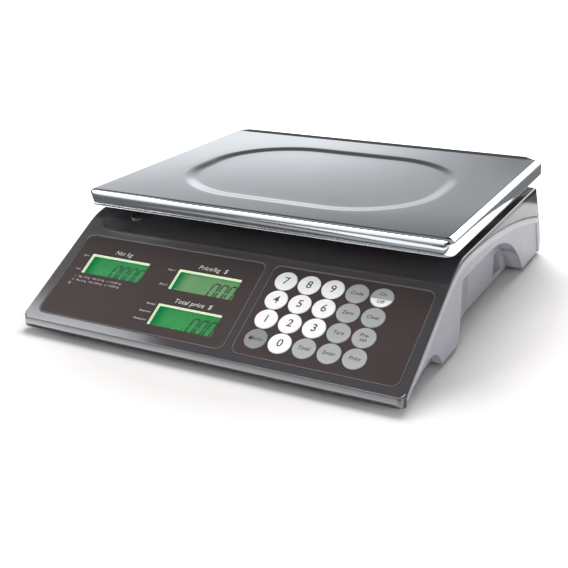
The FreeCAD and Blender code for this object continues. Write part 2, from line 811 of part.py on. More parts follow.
def lower_housing():
    """Base shell: floor, drafted walls, scoops, arches, foot bosses and board posts."""
    full = housing_form("base_form", as_size(0), base, S["deck_height"])
    shell = common("base_shell", full, base_section("base_outline", -S["seam_gap"] / 2))
    tongue_form = housing_form("tongue_form", S["wall"] / 2, base, S["deck_height"])
    tongue = common("seam_tongue", tongue_form, base_section("tongue_outline", S["seam_gap"] / 4))
    hollow = common("base_hollow", housing_form("base_hollow_form", S["wall"], floor_top, S["deck_height"]),
                    base_hollow_section())
    underside = housing_form("underside", S["wall"], below, floor_low)
    solid = fuse("base_solid", [shell, tongue])
    kept = fuse("side_walls", [scoop_tool("scoop_walls", S["wall"]),
                               notch_tool("notch_walls", S["wall"]),
                               inlet_box("inlet_walls", S["wall"] / 2, S["inlet_depth"] + S["wall"])])
    space = cut("base_space", fuse("base_hollows", [hollow, underside]), kept)
    bosses = [rod(f"foot_boss_{name}", WORLD, across, along, S["boss_radius"], floor_low,
                  floor_low + S["boss_height"]) for name, (across, along) in FEET.items()]
    bosses += [rod(f"board_post_{number}", WORLD, across, along, S["post_radius"], floor_low, board_low)
               for number, (across, along) in enumerate(board_screws)]
    walled = fuse("base_walled", [cut("base_hollowed", solid, space)] + bosses)
    stud_hole = S["stud_radius"] + S["stud_clearance"]
    tools = [scoop_tool("scoops", as_size(0)), notch_tool("notches", as_size(0)), side_relief(),
             inlet_box("inlet_recess", as_size(0), S["inlet_depth"])]
    tools += [rod(f"stud_hole_{name}", WORLD, across, along, stud_hole, below, S["deck_height"])
              for name, (across, along) in FEET.items()]
    tools += [rod(f"board_hole_{number}", WORLD, across, along,
                  S["board_screw_radius"] + S["bolt_clearance"], floor_top, board_low + 1)
              for number, (across, along) in enumerate(board_screws)]
    hole = S["screw_radius"] + S["bolt_clearance"]
    for name, (across, along, _) in SCREW_PLACES.items():
        tools.append(both_sides(f"floor_holes_{name}",
                                rod(f"floor_hole_{name}", WORLD, across, along, hole, below, floor_top + 1)))
    bolt_hole = S["bolt_radius"] + S["bolt_clearance"]
    tools += [rod(f"cell_bolt_hole_{side}", WORLD, fixed_end, tray_middle + side * S["bolt_spacing"] / 2,
                  bolt_hole, below, floor_top + 1) for side in (-1, 1)]
    tools.append(rod("stop_hole", WORLD, free_end, tray_middle, bolt_hole, below, floor_top + 1))
    jack_hole = S["jack_radius"] + S["bolt_clearance"]
    tools.append(jack_rod("jack_hole", jack_hole, -S["inlet_depth"] - 2 * S["wall"], as_size(0)))
    return cut("lower_housing", walled, fuse("base_cuts", tools))


def jack_rod(name, radius, start, end):
    """Rod along X at the power inlet; start and end are measured from the scoop's wall."""
    obj = DOC.addObject("Part::Cylinder", name)
    obj.setExpression("Radius", radius.text)
    obj.setExpression("Height", (end - start).text)
    obj.Placement = FreeCAD.Placement(VECTOR(), FreeCAD.Rotation(VECTOR(0, 1, 0), 90))
    place = (half_width - S["grip_depth"] + start, inlet_along, S["inlet_level"])
    for axis, item in zip("xyz", place):
        obj.setExpression(f"Placement.Base.{axis}", item.text)
    return obj


def upper_housing():
    """Cover shell: lip, console with its seats and openings, deck and rear wall."""
    hollow = common("hollow", housing_form("hollow_form", S["wall"], floor_top, S["deck_height"]),
                    hollow_section())
    form = housing_form("cover_form", as_size(0), base, S["deck_height"] + 1)
    solid = common("cover_solid", form, cover_section())
    envelope = common("cover_envelope", form, cover_envelope())
    columns = []
    holes = []
    for name, (across, along, reach) in SCREW_PLACES.items():
        column = rod(f"column_{name}", WORLD, across, along, S["column_radius"], floor_top,
                     S["deck_height"])
        columns.append(both_sides(f"columns_{name}", column))
        hole = rod(f"column_hole_{name}", WORLD, across, along, S["screw_radius"] + S["bolt_clearance"],
                   floor_top - 1, floor_top + reach + S["bolt_clearance"])
        holes.append(both_sides(f"column_holes_{name}", hole))
    posts = [rod(f"display_post_{number}", CONSOLE, across, along, S["post_radius"], light_back,
                 -S["film_thickness"] - S["wall"] / 4)
             for number, (across, along) in enumerate(display_posts)]
    seat = rod("level_seat", WORLD, level_across, level_along,
               S["level_radius"] + S["level_rim"], level_top - S["level_depth"] - S["wall"],
               S["deck_height"])
    collar_half = S["cell_end"] / 2 + S["shaft_opening"]
    collar = plate("splash_collar", WORLD, free_end - collar_half - S["collar_wall"],
                   free_end + collar_half + S["collar_wall"],
                   tray_middle - collar_half - S["collar_wall"],
                   tray_middle + collar_half + S["collar_wall"],
                   S["shaft_opening"] + S["collar_wall"],
                   S["deck_height"] - S["wall"], S["deck_height"] + S["collar_rise"])
    ribs = common("cover_columns", fuse("column_set", columns + [seat]), envelope)
    shell = fuse("cover_shell", [cut("cover_hollowed", solid, hollow), ribs, collar] + posts)
    opening = plate("shaft_hole", WORLD, free_end - collar_half, free_end + collar_half,
                    tray_middle - collar_half, tray_middle + collar_half, S["shaft_opening"],
                    S["deck_height"] - 2 * S["wall"], S["deck_height"] + 2 * S["collar_rise"])
    level = rod("level_hole", WORLD, level_across, level_along,
                S["level_radius"] + S["bolt_clearance"], level_top - S["level_depth"],
                S["deck_height"] + 1)
    holes += [opening, level, console_seats(), rear_seats()]
    holes += [rod(f"display_post_hole_{number}", CONSOLE, across, along,
                  S["board_screw_radius"] + S["bolt_clearance"], light_back - 1,
                  light_back + S["board_lift"] - 1)
              for number, (across, along) in enumerate(display_posts)]
    return cut("upper_housing", shell, fuse("cover_cuts", holes))


def cover_envelope():
    """Side outline under the cover's outer surface, closed along the floor."""
    corners = [(front, floor_top), (rear, floor_top), (seam_end, seam_end_height)]
    corners += top_outline(as_size(0), S["rear_round"])
    corners += [(front, lip_top)]
    return extruded("cover_envelope_section", corners, S["body_width"] + MARGIN)


def console_seats():
    """Shallow seats of the two films, display openings and the keypad opening."""
    thick, loose = S["film_thickness"], S["film_clearance"]
    past = -2 * S["wall"]
    seats = [
        plate("display_seat", CONSOLE, display_left - loose, display_right + loose,
              S["film_low"] - loose, film_top + loose, S["film_corner"] + loose, -thick, 1),
        plate("keypad_seat", CONSOLE, keypad_left - loose, keypad_right + loose,
              S["film_low"] - loose, film_top + loose, S["film_corner"] + loose, -thick, 1),
    ]
    grow = S["bezel_wall"] + S["bezel_clearance"]
    seats += [plate(f"{name}_opening", CONSOLE, *window(centre, grow), past, 0)
              for name, centre in window_centres.items()]
    reach = S["key_radius"] + S["keypad_opening"]
    left, low = key_place(0, 0)
    right, high = key_place(len(KEY_ROWS[0]) - 1, len(KEY_ROWS) - 1)
    seats.append(plate("keypad_hole", CONSOLE, left - reach, right + reach, low - reach, high + reach,
                       S["film_corner"], past, 0))
    return fuse("console_seats", seats)


def rear_seats():
    """Seat of the customer film and its three openings."""
    thick, loose = S["film_thickness"], S["film_clearance"]
    half = rear_film_width / 2 + loose
    seats = [plate("customer_seat", REAR, -half, half, S["rear_film_low"] - loose,
                   S["rear_film_low"] + S["rear_film_height"] + loose, S["window_corner"] + loose,
                   -thick, 1)]
    seats += [plate(f"customer_opening_{number}", REAR, *window(centre, S["bezel_wall"]),
                    -2 * S["wall"], 0) for number, centre in enumerate(rear_centres())]
    return fuse("rear_seats", seats)


# ---------------------------------------------------------------- console pieces

def console_pieces():
    """Films, panes, bezels, displays, backlights, boards and keys on the slope."""
    thick = S["film_thickness"]
    pieces = [
        plate("display_panel", CONSOLE, display_left, display_right, S["film_low"], film_top,
              S["film_corner"], -thick, 0,
              [window(centre, as_size(0)) for centre in window_centres.values()]),
        plate("keypad_panel", CONSOLE, keypad_left, keypad_right, S["film_low"], film_top,
              S["film_corner"], -thick, 0,
              [(*key_place(column, row), S["key_radius"] + S["key_clearance"])
               for row in range(len(KEY_ROWS)) for column in range(len(KEY_ROWS[row]))]),
        group("display_windows", [plate(f"{name}_pane", CONSOLE, *window(centre, -S["pane_clearance"]),
                                        -thick, 0) for name, centre in window_centres.items()]),
        group("lcd_bezels", [plate(f"{name}_bezel", CONSOLE, *window(centre, S["bezel_wall"]),
                                   glass_front, -thick, [window(centre, as_size(0))])
                             for name, centre in window_centres.items()]),
    ]
    for name, centre in window_centres.items():
        pieces.append(plate(f"{name}_lcd", CONSOLE, *window(centre, S["glass_margin"]),
                            glass_back, glass_front))
    pieces.append(group("lcd_backlights", [plate(f"{name}_light", CONSOLE,
                                                 *window(centre, S["glass_margin"]),
                                                 light_back, glass_back)
                                           for name, centre in window_centres.items()]))
    hole = S["board_screw_radius"] + S["bolt_clearance"]
    pieces.append(plate("display_board", CONSOLE, display_left + 6, display_right - 1.5,
                        S["film_low"] + 7, film_top - 7, 2, light_back - S["board_thickness"], light_back,
                        [(across, along, hole) for across, along in display_posts]))
    last_key, _ = key_place(len(KEY_ROWS[0]) - 1, 0)
    board_end = last_key + S["key_radius"] + S["keypad_board_margin"]
    pieces.append(plate("keypad_board", CONSOLE, keypad_left + 1, board_end,
                        S["key_low"] - S["keypad_board_foot"], film_top - 1, 2,
                        -S["wall"] - S["board_thickness"], -S["wall"]))
    return pieces


def key(name, column, row):
    """Round key cap with a bevelled edge on a short stem."""
    across, along = key_place(column, row)
    stem_end = -S["wall"] + S["key_stop"] + S["key_travel"]
    profile = [(0, stem_end), (S["key_stem"], stem_end), (S["key_stem"], -S["key_depth"]),
               (S["key_radius"], -S["key_depth"]), (S["key_radius"], S["key_proud"] - S["key_edge"]),
               (S["key_radius"] - S["key_edge"], S["key_proud"]), (0, S["key_proud"])]
    return turned(name, CONSOLE, across, along, profile)


def customer_pieces():
    """Film, panes, displays and board behind the rear wall."""
    thick = S["film_thickness"]
    half = rear_film_width / 2
    low, high = S["rear_film_low"], S["rear_film_low"] + S["rear_film_height"]
    module_back = -S["wall"] - S["glass_thickness"] - S["backlight_thickness"]
    centres = rear_centres()
    return [
        plate("customer_display_panel", REAR, -half, half, low, high, S["window_corner"], -thick, 0,
              [window(centre, as_size(0)) for centre in centres]),
        group("customer_display_windows",
              [plate(f"customer_pane_{number}", REAR, *window(centre, -S["pane_clearance"]), -thick, 0)
               for number, centre in enumerate(centres)]),
        group("customer_lcds",
              [plate(f"customer_lcd_{number}", REAR, *window(centre, S["glass_margin"]),
                     module_back, -S["wall"]) for number, centre in enumerate(centres)]),
        plate("customer_display_board", REAR, -half, half, low, high, 2,
              module_back - S["board_thickness"], module_back),
    ]


# ---------------------------------------------------------------- tray

def tray_form(name, inset, low):
    """Outer or inner form of the tray: turned-down box, raised middle and rear rim."""
    width = S["tray_width"] / 2 - inset
    corner = S["tray_corner"] - inset
    edge = S["tray_round"] - inset
    top = tray_top - inset
    body = new_body(f"{name}_box")
    sketch = plane_sketch(body, "XY_Plane", f"{name}_plan")
    rounded_rectangle(sketch, -width, width, tray_front + inset, tray_back - inset, corner)
    block_pad = pad(body, sketch, top - low, f"{name}_pad")
    WORLD.seat(body, 0, 0, low)
    DOC.recompute()
    faces = block_pad.Shape.Faces
    top_face = max(range(len(faces)), key=lambda number: faces[number].BoundBox.ZMin)
    rounded = body.newObject("PartDesign::Fillet", f"{name}_round")
    rounded.Base = (block_pad, [f"Face{top_face + 1}"])
    rounded.setExpression("Radius", edge.text)
    raised = new_body(f"{name}_plateau")
    loft_sections = []
    middle = tray_middle + S["plateau_shift"]
    for number, (shrink, rise) in enumerate([(0, 0), (S["plateau_slope"], S["plateau_rise"])]):
        shrink = shrink + inset
        section = plane_sketch(raised, "XY_Plane", f"{name}_plateau_{number}")
        rounded_rectangle(section, -S["plateau_half_width"] + shrink, S["plateau_half_width"] - shrink,
                          middle - S["plateau_half_depth"] + shrink,
                          middle + S["plateau_half_depth"] - shrink, S["plateau_corner"] - shrink)
        section.setExpression("AttachmentOffset.Base.z", as_size(rise).text)
        loft_sections.append(section)
    loft = raised.newObject("PartDesign::AdditiveLoft", f"{name}_plateau_loft")
    loft.Profile = loft_sections[0]
    loft.Sections = loft_sections[1:]
    loft.Ruled = True
    WORLD.seat(raised, 0, 0, top)
    bead = S["tray_rim_round"] - inset
    rim_along = tray_back - S["tray_rim_round"]
    rim_height = top + S["tray_rim_rise"] - bead
    rim_half = S["tray_width"] / 2 - S["tray_corner"]
    rim = DOC.addObject("Part::Cylinder", f"{name}_rim")
    rim.setExpression("Radius", bead.text)
    rim.setExpression("Height", (2 * rim_half).text)
    rim.Placement = FreeCAD.Placement(VECTOR(), FreeCAD.Rotation(VECTOR(0, 1, 0), 90))
    for axis, item in zip("xyz", (-rim_half, rim_along, rim_height)):
        rim.setExpression(f"Placement.Base.{axis}", item.text)
    ends = []
    for side, across in (("left", -rim_half), ("right", rim_half)):
        end = DOC.addObject("Part::Sphere", f"{name}_rim_{side}")
        end.setExpression("Radius", bead.text)
        WORLD.seat(end, across, rim_along, rim_height)
        ends.append(end)
    return fuse(name, [body, raised, rim] + ends)


def tray():
    low = tray_top - S["tray_lip"]
    outer = tray_form("tray_outer", as_size(0), low)
    inner = tray_form("tray_inner", S["tray_sheet"], low - MARGIN)
    return cut("tray", outer, inner)


# ---------------------------------------------------------------- weighing platform

def load_cell():
    """Beam with the two joined relief bores that make its thin bending webs."""
    middle = (cell_low + cell_top) / 2
    beam = block("cell_beam", WORLD, cell_left, cell_right, cell_front, cell_back, cell_low, cell_top)
    tools = []
    for side in (-1, 1):
        bore = DOC.addObject("Part::Cylinder", f"cell_bore_{side}")
        bore.setExpression("Radius", S["cell_bore"].text)
        bore.setExpression("Height", (S["cell_width"] + 2 * MARGIN).text)
        bore.Placement = FreeCAD.Placement(VECTOR(), FreeCAD.Rotation(VECTOR(1, 0, 0), -90))
        for axis, item in zip("xyz", (side * S["cell_bore_offset"], cell_front - MARGIN, middle)):
            bore.setExpression(f"Placement.Base.{axis}", item.text)
        tools.append(bore)
    tools.append(block("cell_slot", WORLD, -S["cell_bore_offset"], S["cell_bore_offset"],
                       cell_front - MARGIN, cell_back + MARGIN, middle - S["cell_slot"] / 2,
                       middle + S["cell_slot"] / 2))
    hole = S["bolt_radius"] + S["bolt_clearance"]
    reach = S["bolt_reach"] + 1
    for side in (-1, 1):
        along = tray_middle + side * S["bolt_spacing"] / 2
        tools.append(rod(f"cell_hole_{side}", WORLD, fixed_end, along, hole, cell_low - 1,
                         cell_low + reach))
        tools.append(rod(f"cell_tap_{side}", WORLD, free_end, along, hole, cell_top - reach,
                         cell_top + 1))
    return cut("load_cell", beam, fuse("cell_cuts", tools))


def end_block(name, centre, low, high):
    """Block as wide as the load cell's clamped end, with two bolt holes."""
    half = S["cell_end"] / 2
    hole = S["bolt_radius"] + S["bolt_clearance"]
    return plate(name, WORLD, centre - half, centre + half, cell_front, cell_back, 2, low, high,
                 [(centre, tray_middle + side * S["bolt_spacing"] / 2, hole) for side in (-1, 1)])


def bolt_pair(name, centre, head_low, head_high, shank_low, shank_high):
    bolts = []
    for side in (-1, 1):
        along = tray_middle + side * S["bolt_spacing"] / 2
        bolts.append(fuse(f"{name}_{side}", [
            rod(f"{name}_head_{side}", WORLD, centre, along, S["bolt_head_radius"], head_low, head_high),
            rod(f"{name}_shank_{side}", WORLD, centre, along, S["bolt_radius"], shank_low, shank_high)]))
    return group(name, bolts)


def platform_spider():
    """Four-armed casting that carries the tray on its corner pads."""
    arm, hub_x, hub_y = S["spider_arm"], S["spider_hub_x"], S["spider_hub_y"]
    quadrant = [(hub_x, hub_y - 2 * arm), (arm_across + arm, arm_along - arm),
                (arm_across - arm, arm_along + arm), (hub_x - 2 * arm, hub_y)]
    corners = []
    for sign_x, sign_y in ((1, 1), (-1, 1), (-1, -1), (1, -1)):
        points = quadrant if sign_x * sign_y > 0 else quadrant[::-1]
        corners += [(sign_x * across, tray_middle + sign_y * along) for across, along in points]
    body = new_body("spider_star")
    sketch = plane_sketch(body, "XY_Plane", "spider_outline")
    outline(sketch, corners)
    hole = S["bolt_radius"] + S["bolt_clearance"]
    for side in (-1, 1):
        circle(sketch, free_end, tray_middle + side * S["bolt_spacing"] / 2, hole)
    pad(body, sketch, S["spider_thickness"], "spider_pad")
    WORLD.seat(body, 0, 0, spider_low)
    pads = [rod(f"spider_corner_{number}", WORLD, sign_x * arm_across, tray_middle + sign_y * arm_along,
                S["pad_radius"], spider_low, spider_top)
            for number, (sign_x, sign_y) in enumerate(((1, 1), (-1, 1), (-1, -1), (1, -1)))]
    return fuse("platform_spider", [body] + pads)


def tray_buffers():
    return group("tray_buffers", [
        rod(f"buffer_{number}", WORLD, sign_x * arm_across, tray_middle + sign_y * arm_along,
            S["buffer_radius"], spider_top, tray_under)
        for number, (sign_x, sign_y) in enumerate(((1, 1), (-1, 1), (-1, -1), (1, -1)))])


def platform_pieces():
    cell_bolts = bolt_pair("load_cell_screws", fixed_end, floor_low - S["bolt_head"], floor_low,
                           floor_low, cell_low + S["bolt_reach"])
    platform_bolts = bolt_pair("platform_screws", free_end, spider_top, spider_top + S["bolt_head"],
                               cell_top - S["bolt_reach"], spider_top)
    stop_head = S["mount_height"] / 2
    stop = fuse("overload_stop", [
        rod("stop_shank", WORLD, free_end, tray_middle, S["bolt_radius"], floor_low,
            cell_low - S["stop_gap"]),
        rod("stop_nut", WORLD, free_end, tray_middle, S["bolt_head_radius"], floor_top,
            floor_top + stop_head)])
    return [load_cell(), end_block("load_cell_mount", fixed_end, floor_top, cell_low),
            end_block("platform_column", free_end, cell_top, spider_low),
            cell_bolts, platform_bolts, stop, platform_spider(), tray_buffers()]


# ---------------------------------------------------------------- feet, screws, boards, level, inlet

def foot(name, across, along):
    """Round rubber foot with a bevelled rim and a socket for its stud."""
    radius, height = S["foot_radius"], S["foot_height"]
    profile = [(0, 0), (radius - 1, 0), (radius, 1), (radius, height - 1.5), (radius - 1.5, height),
               (S["stud_radius"], height), (S["stud_radius"], S["foot_cup"]), (0, S["foot_cup"])]
    return turned(f"foot_{name}", WORLD, across, along, profile)


def foot_stud(name, across, along):
    return rod(f"foot_stud_{name}", WORLD, across, along, S["stud_radius"], S["foot_cup"],
               floor_low + S["boss_height"] + S["stud_proud"])


def housing_screws():
    screws = []
    for name, (across, along, reach) in SCREW_PLACES.items():
        screw = fuse(f"screw_{name}", [
            rod(f"screw_head_{name}", WORLD, across, along, S["screw_head_radius"],
                floor_low - S["screw_head"], floor_low),
            rod(f"screw_shank_{name}", WORLD, across, along, S["screw_radius"], floor_low,
                floor_top + reach)])
        screws += [screw, mirrored(f"screw_left_{name}", screw)]
    return group("housing_screws", screws)


def board_screw(name, frame, across, along, face, inward):
    """Pan-head screw whose head lies on a board's face and whose shank points inward."""
    head = (face, face + 2) if inward < 0 else (face - 2, face)
    shank = (face - 5, face) if inward < 0 else (face, face + 5)
    return fuse(name, [
        rod(f"{name}_head", frame, across, along, 2 * S["board_screw_radius"], *head),
        rod(f"{name}_shank", frame, across, along, S["board_screw_radius"], *shank)])


def board_screw_set():
    top = board_low + S["board_thickness"]
    screws = [board_screw(f"main_board_screw_{number}", WORLD, across, along, top, -1)
              for number, (across, along) in enumerate(board_screws)]
    back = light_back - S["board_thickness"]
    screws += [board_screw(f"display_screw_{number}", CONSOLE, across, along, back, 1)
               for number, (across, along) in enumerate(display_posts)]
    return group("board_screws", screws)


def main_board():
    """Circuit board with its converter, processor, connector row and buzzer."""
    top = board_low + S["board_thickness"]
    hole = S["board_screw_radius"] + S["bolt_clearance"]
    board = plate("main_board_plate", WORLD, board_left, board_right, board_front, board_back, 2,
                  board_low, top, [(across, along, hole) for across, along in board_screws])
    inset = S["converter_inset"]
    processor = (board_left + S["processor_across"], board_front + S["processor_along"])
    row_front = board_front + S["connector_along"]
    return fuse("main_board", [
        board,
        block("converter", WORLD, board_left + inset, board_left + inset + S["converter_width"],
              board_front + inset, board_back - inset, top, top + S["converter_height"]),
        block("processor", WORLD, processor[0], processor[0] + S["processor_width"], processor[1],
              processor[1] + S["processor_width"], top, top + S["processor_height"]),
        block("connector_row", WORLD, board_left + S["connector_left"],
              board_right - S["connector_right"], row_front, row_front + S["connector_depth"],
              top, top + S["connector_height"]),
        rod("buzzer", WORLD, board_right - S["buzzer_across"], board_back - S["buzzer_along"],
            S["buzzer_radius"], top, top + S["buzzer_height"])])


def level_pieces():
    """Round spirit level: a ring let into the deck and a domed vial."""
    radius, wall = S["level_radius"], S["level_wall"]
    low = level_top - S["level_depth"]
    inner = radius - wall
    depth = S["level_depth"]
    ring = turned("level_ring", WORLD, level_across, level_along,
                  [(0, 0), (radius, 0), (radius, depth), (inner, depth), (inner, wall), (0, wall)], low)
    vial = turned("level_vial", WORLD, level_across, level_along,
                  [(0, wall), (inner, wall), (inner, depth - 1), (0, depth)], low)
    return [ring, vial]


def power_inlet():
    """Barrel jack: a block behind the recess and a bored barrel with its centre pin."""
    floor_face = -S["inlet_depth"]
    inner_face = floor_face - S["wall"]
    wall_face = half_width - S["grip_depth"]
    half = S["jack_block"] / 2
    body = block("jack_body", WORLD, wall_face + inner_face - S["jack_block"], wall_face + inner_face,
                 inlet_along - half, inlet_along + half,
                 S["inlet_level"] - half, S["inlet_level"] + half)
    barrel = jack_rod("jack_barrel", S["jack_radius"], inner_face, floor_face + S["jack_proud"])
    bore = jack_rod("jack_bore_tool", S["jack_bore"], inner_face, floor_face + S["jack_proud"] + 1)
    pin = jack_rod("jack_pin_rod", S["jack_pin"], inner_face, floor_face)
    bored = cut("jack_bored", fuse("jack_blank", [body, barrel]), bore)
    return fuse("power_inlet", [bored, pin])


# ---------------------------------------------------------------- assembly and export

def build():
    pieces = [lower_housing(), upper_housing(), tray(), main_board(),
              power_inlet(), housing_screws(), board_screw_set()]
    pieces += console_pieces() + customer_pieces() + platform_pieces() + level_pieces()
    for row, names in enumerate(KEY_ROWS):
        pieces += [key(f"key_{name}", column, row) for column, name in enumerate(names)]
    for name, (across, along) in FEET.items():
        pieces += [foot(name, across, along), foot_stud(name, across, along)]
    return pieces


def check(pieces):
    """Stop unless every object computed and every piece is a valid shape of solids."""
    for obj in DOC.Objects:
        if "Invalid" in obj.State or "Error" in obj.State:
            raise RuntimeError(f"{obj.Name} failed: {obj.State}")
    for piece in pieces:
        shape = piece.Shape
        if shape.isNull() or not shape.isValid() or not shape.Solids:
            raise RuntimeError(f"{piece.Name} has no valid solid")


def export(pieces):
    os.makedirs("parts", exist_ok=True)
    for piece in pieces:
        piece.Label = piece.Name
        piece.Shape.exportStep(os.path.join("parts", f"{piece.Label}.step"))
        print(f"{piece.Label}: {len(piece.Shape.Solids)} solid(s), {piece.Shape.Volume / 1000:.2f} cm3")


PIECES = build()
DOC.recompute()
check(PIECES)
export(PIECES)
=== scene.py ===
import math

import bmesh
import bpy
from mathutils import Matrix, Vector
from mathutils.bvhtree import BVHTree


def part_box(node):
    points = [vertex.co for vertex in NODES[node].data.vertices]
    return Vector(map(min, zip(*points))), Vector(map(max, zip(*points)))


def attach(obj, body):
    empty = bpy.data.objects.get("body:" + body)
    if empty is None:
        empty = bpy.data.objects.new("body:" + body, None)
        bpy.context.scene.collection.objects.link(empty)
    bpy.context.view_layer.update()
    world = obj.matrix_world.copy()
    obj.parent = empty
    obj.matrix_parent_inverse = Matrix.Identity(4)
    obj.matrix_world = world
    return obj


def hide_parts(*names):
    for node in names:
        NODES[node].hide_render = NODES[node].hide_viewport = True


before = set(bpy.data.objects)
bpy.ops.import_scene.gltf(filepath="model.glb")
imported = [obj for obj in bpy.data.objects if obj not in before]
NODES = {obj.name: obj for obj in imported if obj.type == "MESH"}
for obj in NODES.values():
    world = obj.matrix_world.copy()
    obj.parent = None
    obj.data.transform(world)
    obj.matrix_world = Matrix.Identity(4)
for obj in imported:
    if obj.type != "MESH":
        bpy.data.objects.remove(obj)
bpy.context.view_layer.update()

MM = 0.001
COLLECTION = bpy.context.scene.collection

# ---------------------------------------------------------------- places, in millimetres

FRONT = -184.0
LIP_TOP = 11.8
SLOPE = math.radians(29.7)
DECK = 74.0
TRAY_HALF = (166.0, 134.0)
TRAY_MIDDLE = 42.0
TRAY_TOP = 96.3
TRAY_LOW = 82.7
TRAY_SHEET = 1.2
DISPLAY_GLASS = -4.0            # out of the console's plane
WINDOW = (59.0, 21.5)
PANE_CLEARANCE = 0.1
FIGURE_WIDE, FIGURE_PITCH = 5.4, 7.9
FIGURES_END = 24.5              # right of a window's middle
FIGURE_PROUD = 0.06
PRINT_PROUD = 0.05
WINDOWS = {"weight": (-111.8, 64.8), "unit_price": (-24.3, 64.8), "total_price": (-24.3, 28.2)}
DISPLAY_FILM = (-157.25, 19.25, 8.0, 95.5)
KEYPAD_FILM = (25.75, 159.75, 8.0, 95.5)
FILM_LINE_INSET, FILM_LINE_RADIUS = 0.15, 6.8
KEY_RADIUS = 9.15
KEY_FIRST = (41.3, 24.1)        # centre of the first key of the first row
KEY_PITCH = (20.0, 19.05)
KEY_TOP = 0.585                 # legends, out of the console's plane
KEY_ROWS = [["memory", "0", "total", "enter", "receipt"], ["1", "2", "3", "tare", "preset"],
            ["4", "5", "6", "zero", "clear"], ["7", "8", "9", "code", "power"]]
REAR_LEAN = math.radians(28.65)
REAR_FOOT = (171.5, 40.15)
REAR_MIDDLE = 4.5 + 29.0 / 2    # middle of the customer film, up the rear wall
REAR_PITCH = 96.0
LEVEL_PLACE = (-123.8, -73.95)
WALL_CLEAR, WALL_FACE, WALL_LIMIT = 160.0, 166.0, 167.7    # the base's side walls, from the middle


def console_frame(across, along, proud=0.0):
    """Matrix onto the sloping console: X to the right, Y up the slope, Z out of it."""
    place = Vector((across, FRONT + along * math.cos(SLOPE) - proud * math.sin(SLOPE),
                    LIP_TOP + along * math.sin(SLOPE) + proud * math.cos(SLOPE))) * MM
    side = Vector((1, 0, 0))
    up = Vector((0, math.cos(SLOPE), math.sin(SLOPE)))
    return Matrix.Translation(place) @ Matrix((side, up, side.cross(up))).transposed().to_4x4()


def rear_frame(across, along, proud=0.0):
    """Matrix onto the rear wall: X to the customer's right, Y up the wall, Z out of it."""
    up = Vector((0, -math.sin(REAR_LEAN), math.cos(REAR_LEAN)))
    out = Vector((0, math.cos(REAR_LEAN), math.sin(REAR_LEAN)))
    place = (Vector((across, *REAR_FOOT)) + along * up + proud * out) * MM
    return Matrix.Translation(place) @ Matrix((Vector((-1, 0, 0)), up, out)).transposed().to_4x4()


CONSOLE = console_frame(0, 0)
REAR = rear_frame(0, REAR_MIDDLE)


# ---------------------------------------------------------------- materials

def add_node(tree, kind, inputs=None, **settings):
    """A node in a tree; each of its inputs is a value or another node's socket."""
    node = tree.nodes.new(kind)
    for key, value in settings.items():
        setattr(node, key, value)
    for key, value in (inputs or {}).items():
        if isinstance(value, bpy.types.NodeSocket):
            tree.links.new(value, node.inputs[key])
        else:
            node.inputs[key].default_value = value
    return node


def math_node(tree, operation, first, second):
    return add_node(tree, "ShaderNodeMath", {0: first, 1: second}, operation=operation).outputs[0]


class Shader:
    """A node tree with a Principled shader, built a few nodes at a time."""

    def __init__(self, name):
        self.material = bpy.data.materials.new(name)
        self.material.use_nodes = True
        self.tree = self.material.node_tree
        self.shader = self.tree.nodes["Principled BSDF"]
        self.place = self.add("ShaderNodeTexCoord").outputs["Object"]

    def add(self, kind, inputs=None, **settings):
        return add_node(self.tree, kind, inputs, **settings)

    def set(self, **values):
        for key, value in values.items():
            socket = self.shader.inputs[key.replace("_", " ")]
            if isinstance(value, bpy.types.NodeSocket):
                self.tree.links.new(value, socket)
            elif isinstance(value, tuple) and len(value) == 3:
                socket.default_value = (*value, 1.0)
            else:
                socket.default_value = value

    def stretched(self, scale):
        """The object's own coordinates, scaled along each axis."""
        return self.add("ShaderNodeMapping",
                        {"Vector": self.place, "Scale": scale}).outputs["Vector"]

    def noise(self, scale, detail=4.0, where=None, rough=0.55):
        return self.add("ShaderNodeTexNoise", {"Vector": where or self.place, "Scale": scale,
                                               "Detail": detail, "Roughness": rough}).outputs["Fac"]

    def spread(self, value, low, high, start=0.3, end=0.7):
        return self.add("ShaderNodeMapRange", {"Value": value, "From Min": start, "From Max": end,
                                               "To Min": low, "To Max": high}).outputs["Result"]

    def blend(self, factor, first, second):
        node = self.add("ShaderNodeMix", data_type="RGBA")
        for index, value in ((0, factor), (6, first), (7, second)):
            if isinstance(value, bpy.types.NodeSocket):
                self.tree.links.new(value, node.inputs[index])
            elif index:
                node.inputs[index].default_value = (*value, 1.0)
            else:
                node.inputs[index].default_value = value
        return node.outputs[2]

    def maths(self, operation, first, second):
        return math_node(self.tree, operation, first, second)

    def axis(self, name):
        return self.add("ShaderNodeSeparateXYZ", {0: self.place}).outputs[name]

    def bump(self, height, depth):
        return self.add("ShaderNodeBump", {"Height": height, "Distance": depth,
                                           "Strength": 1.0}).outputs["Normal"]


def tinted(colour, factor):
    """A colour made lighter or darker."""
    return tuple(min(1.0, c * factor) for c in colour)


def moulded(name, colour, rough, grain, depth, vary=0.06, **more):
    """Moulded plastic: slight colour drift, fine grain, uneven gloss."""
    s = Shader(name)
    s.set(Base_Color=s.blend(s.spread(s.noise(14.0, 5.0), 0.0, 1.0), tinted(colour, 1 - vary),
                             tinted(colour, 1 + vary)),
          Roughness=s.spread(s.noise(45.0, 6.0), rough * 0.85, rough * 1.2),
          Normal=s.bump(s.noise(grain, 3.0), depth), **more)
    return s.material


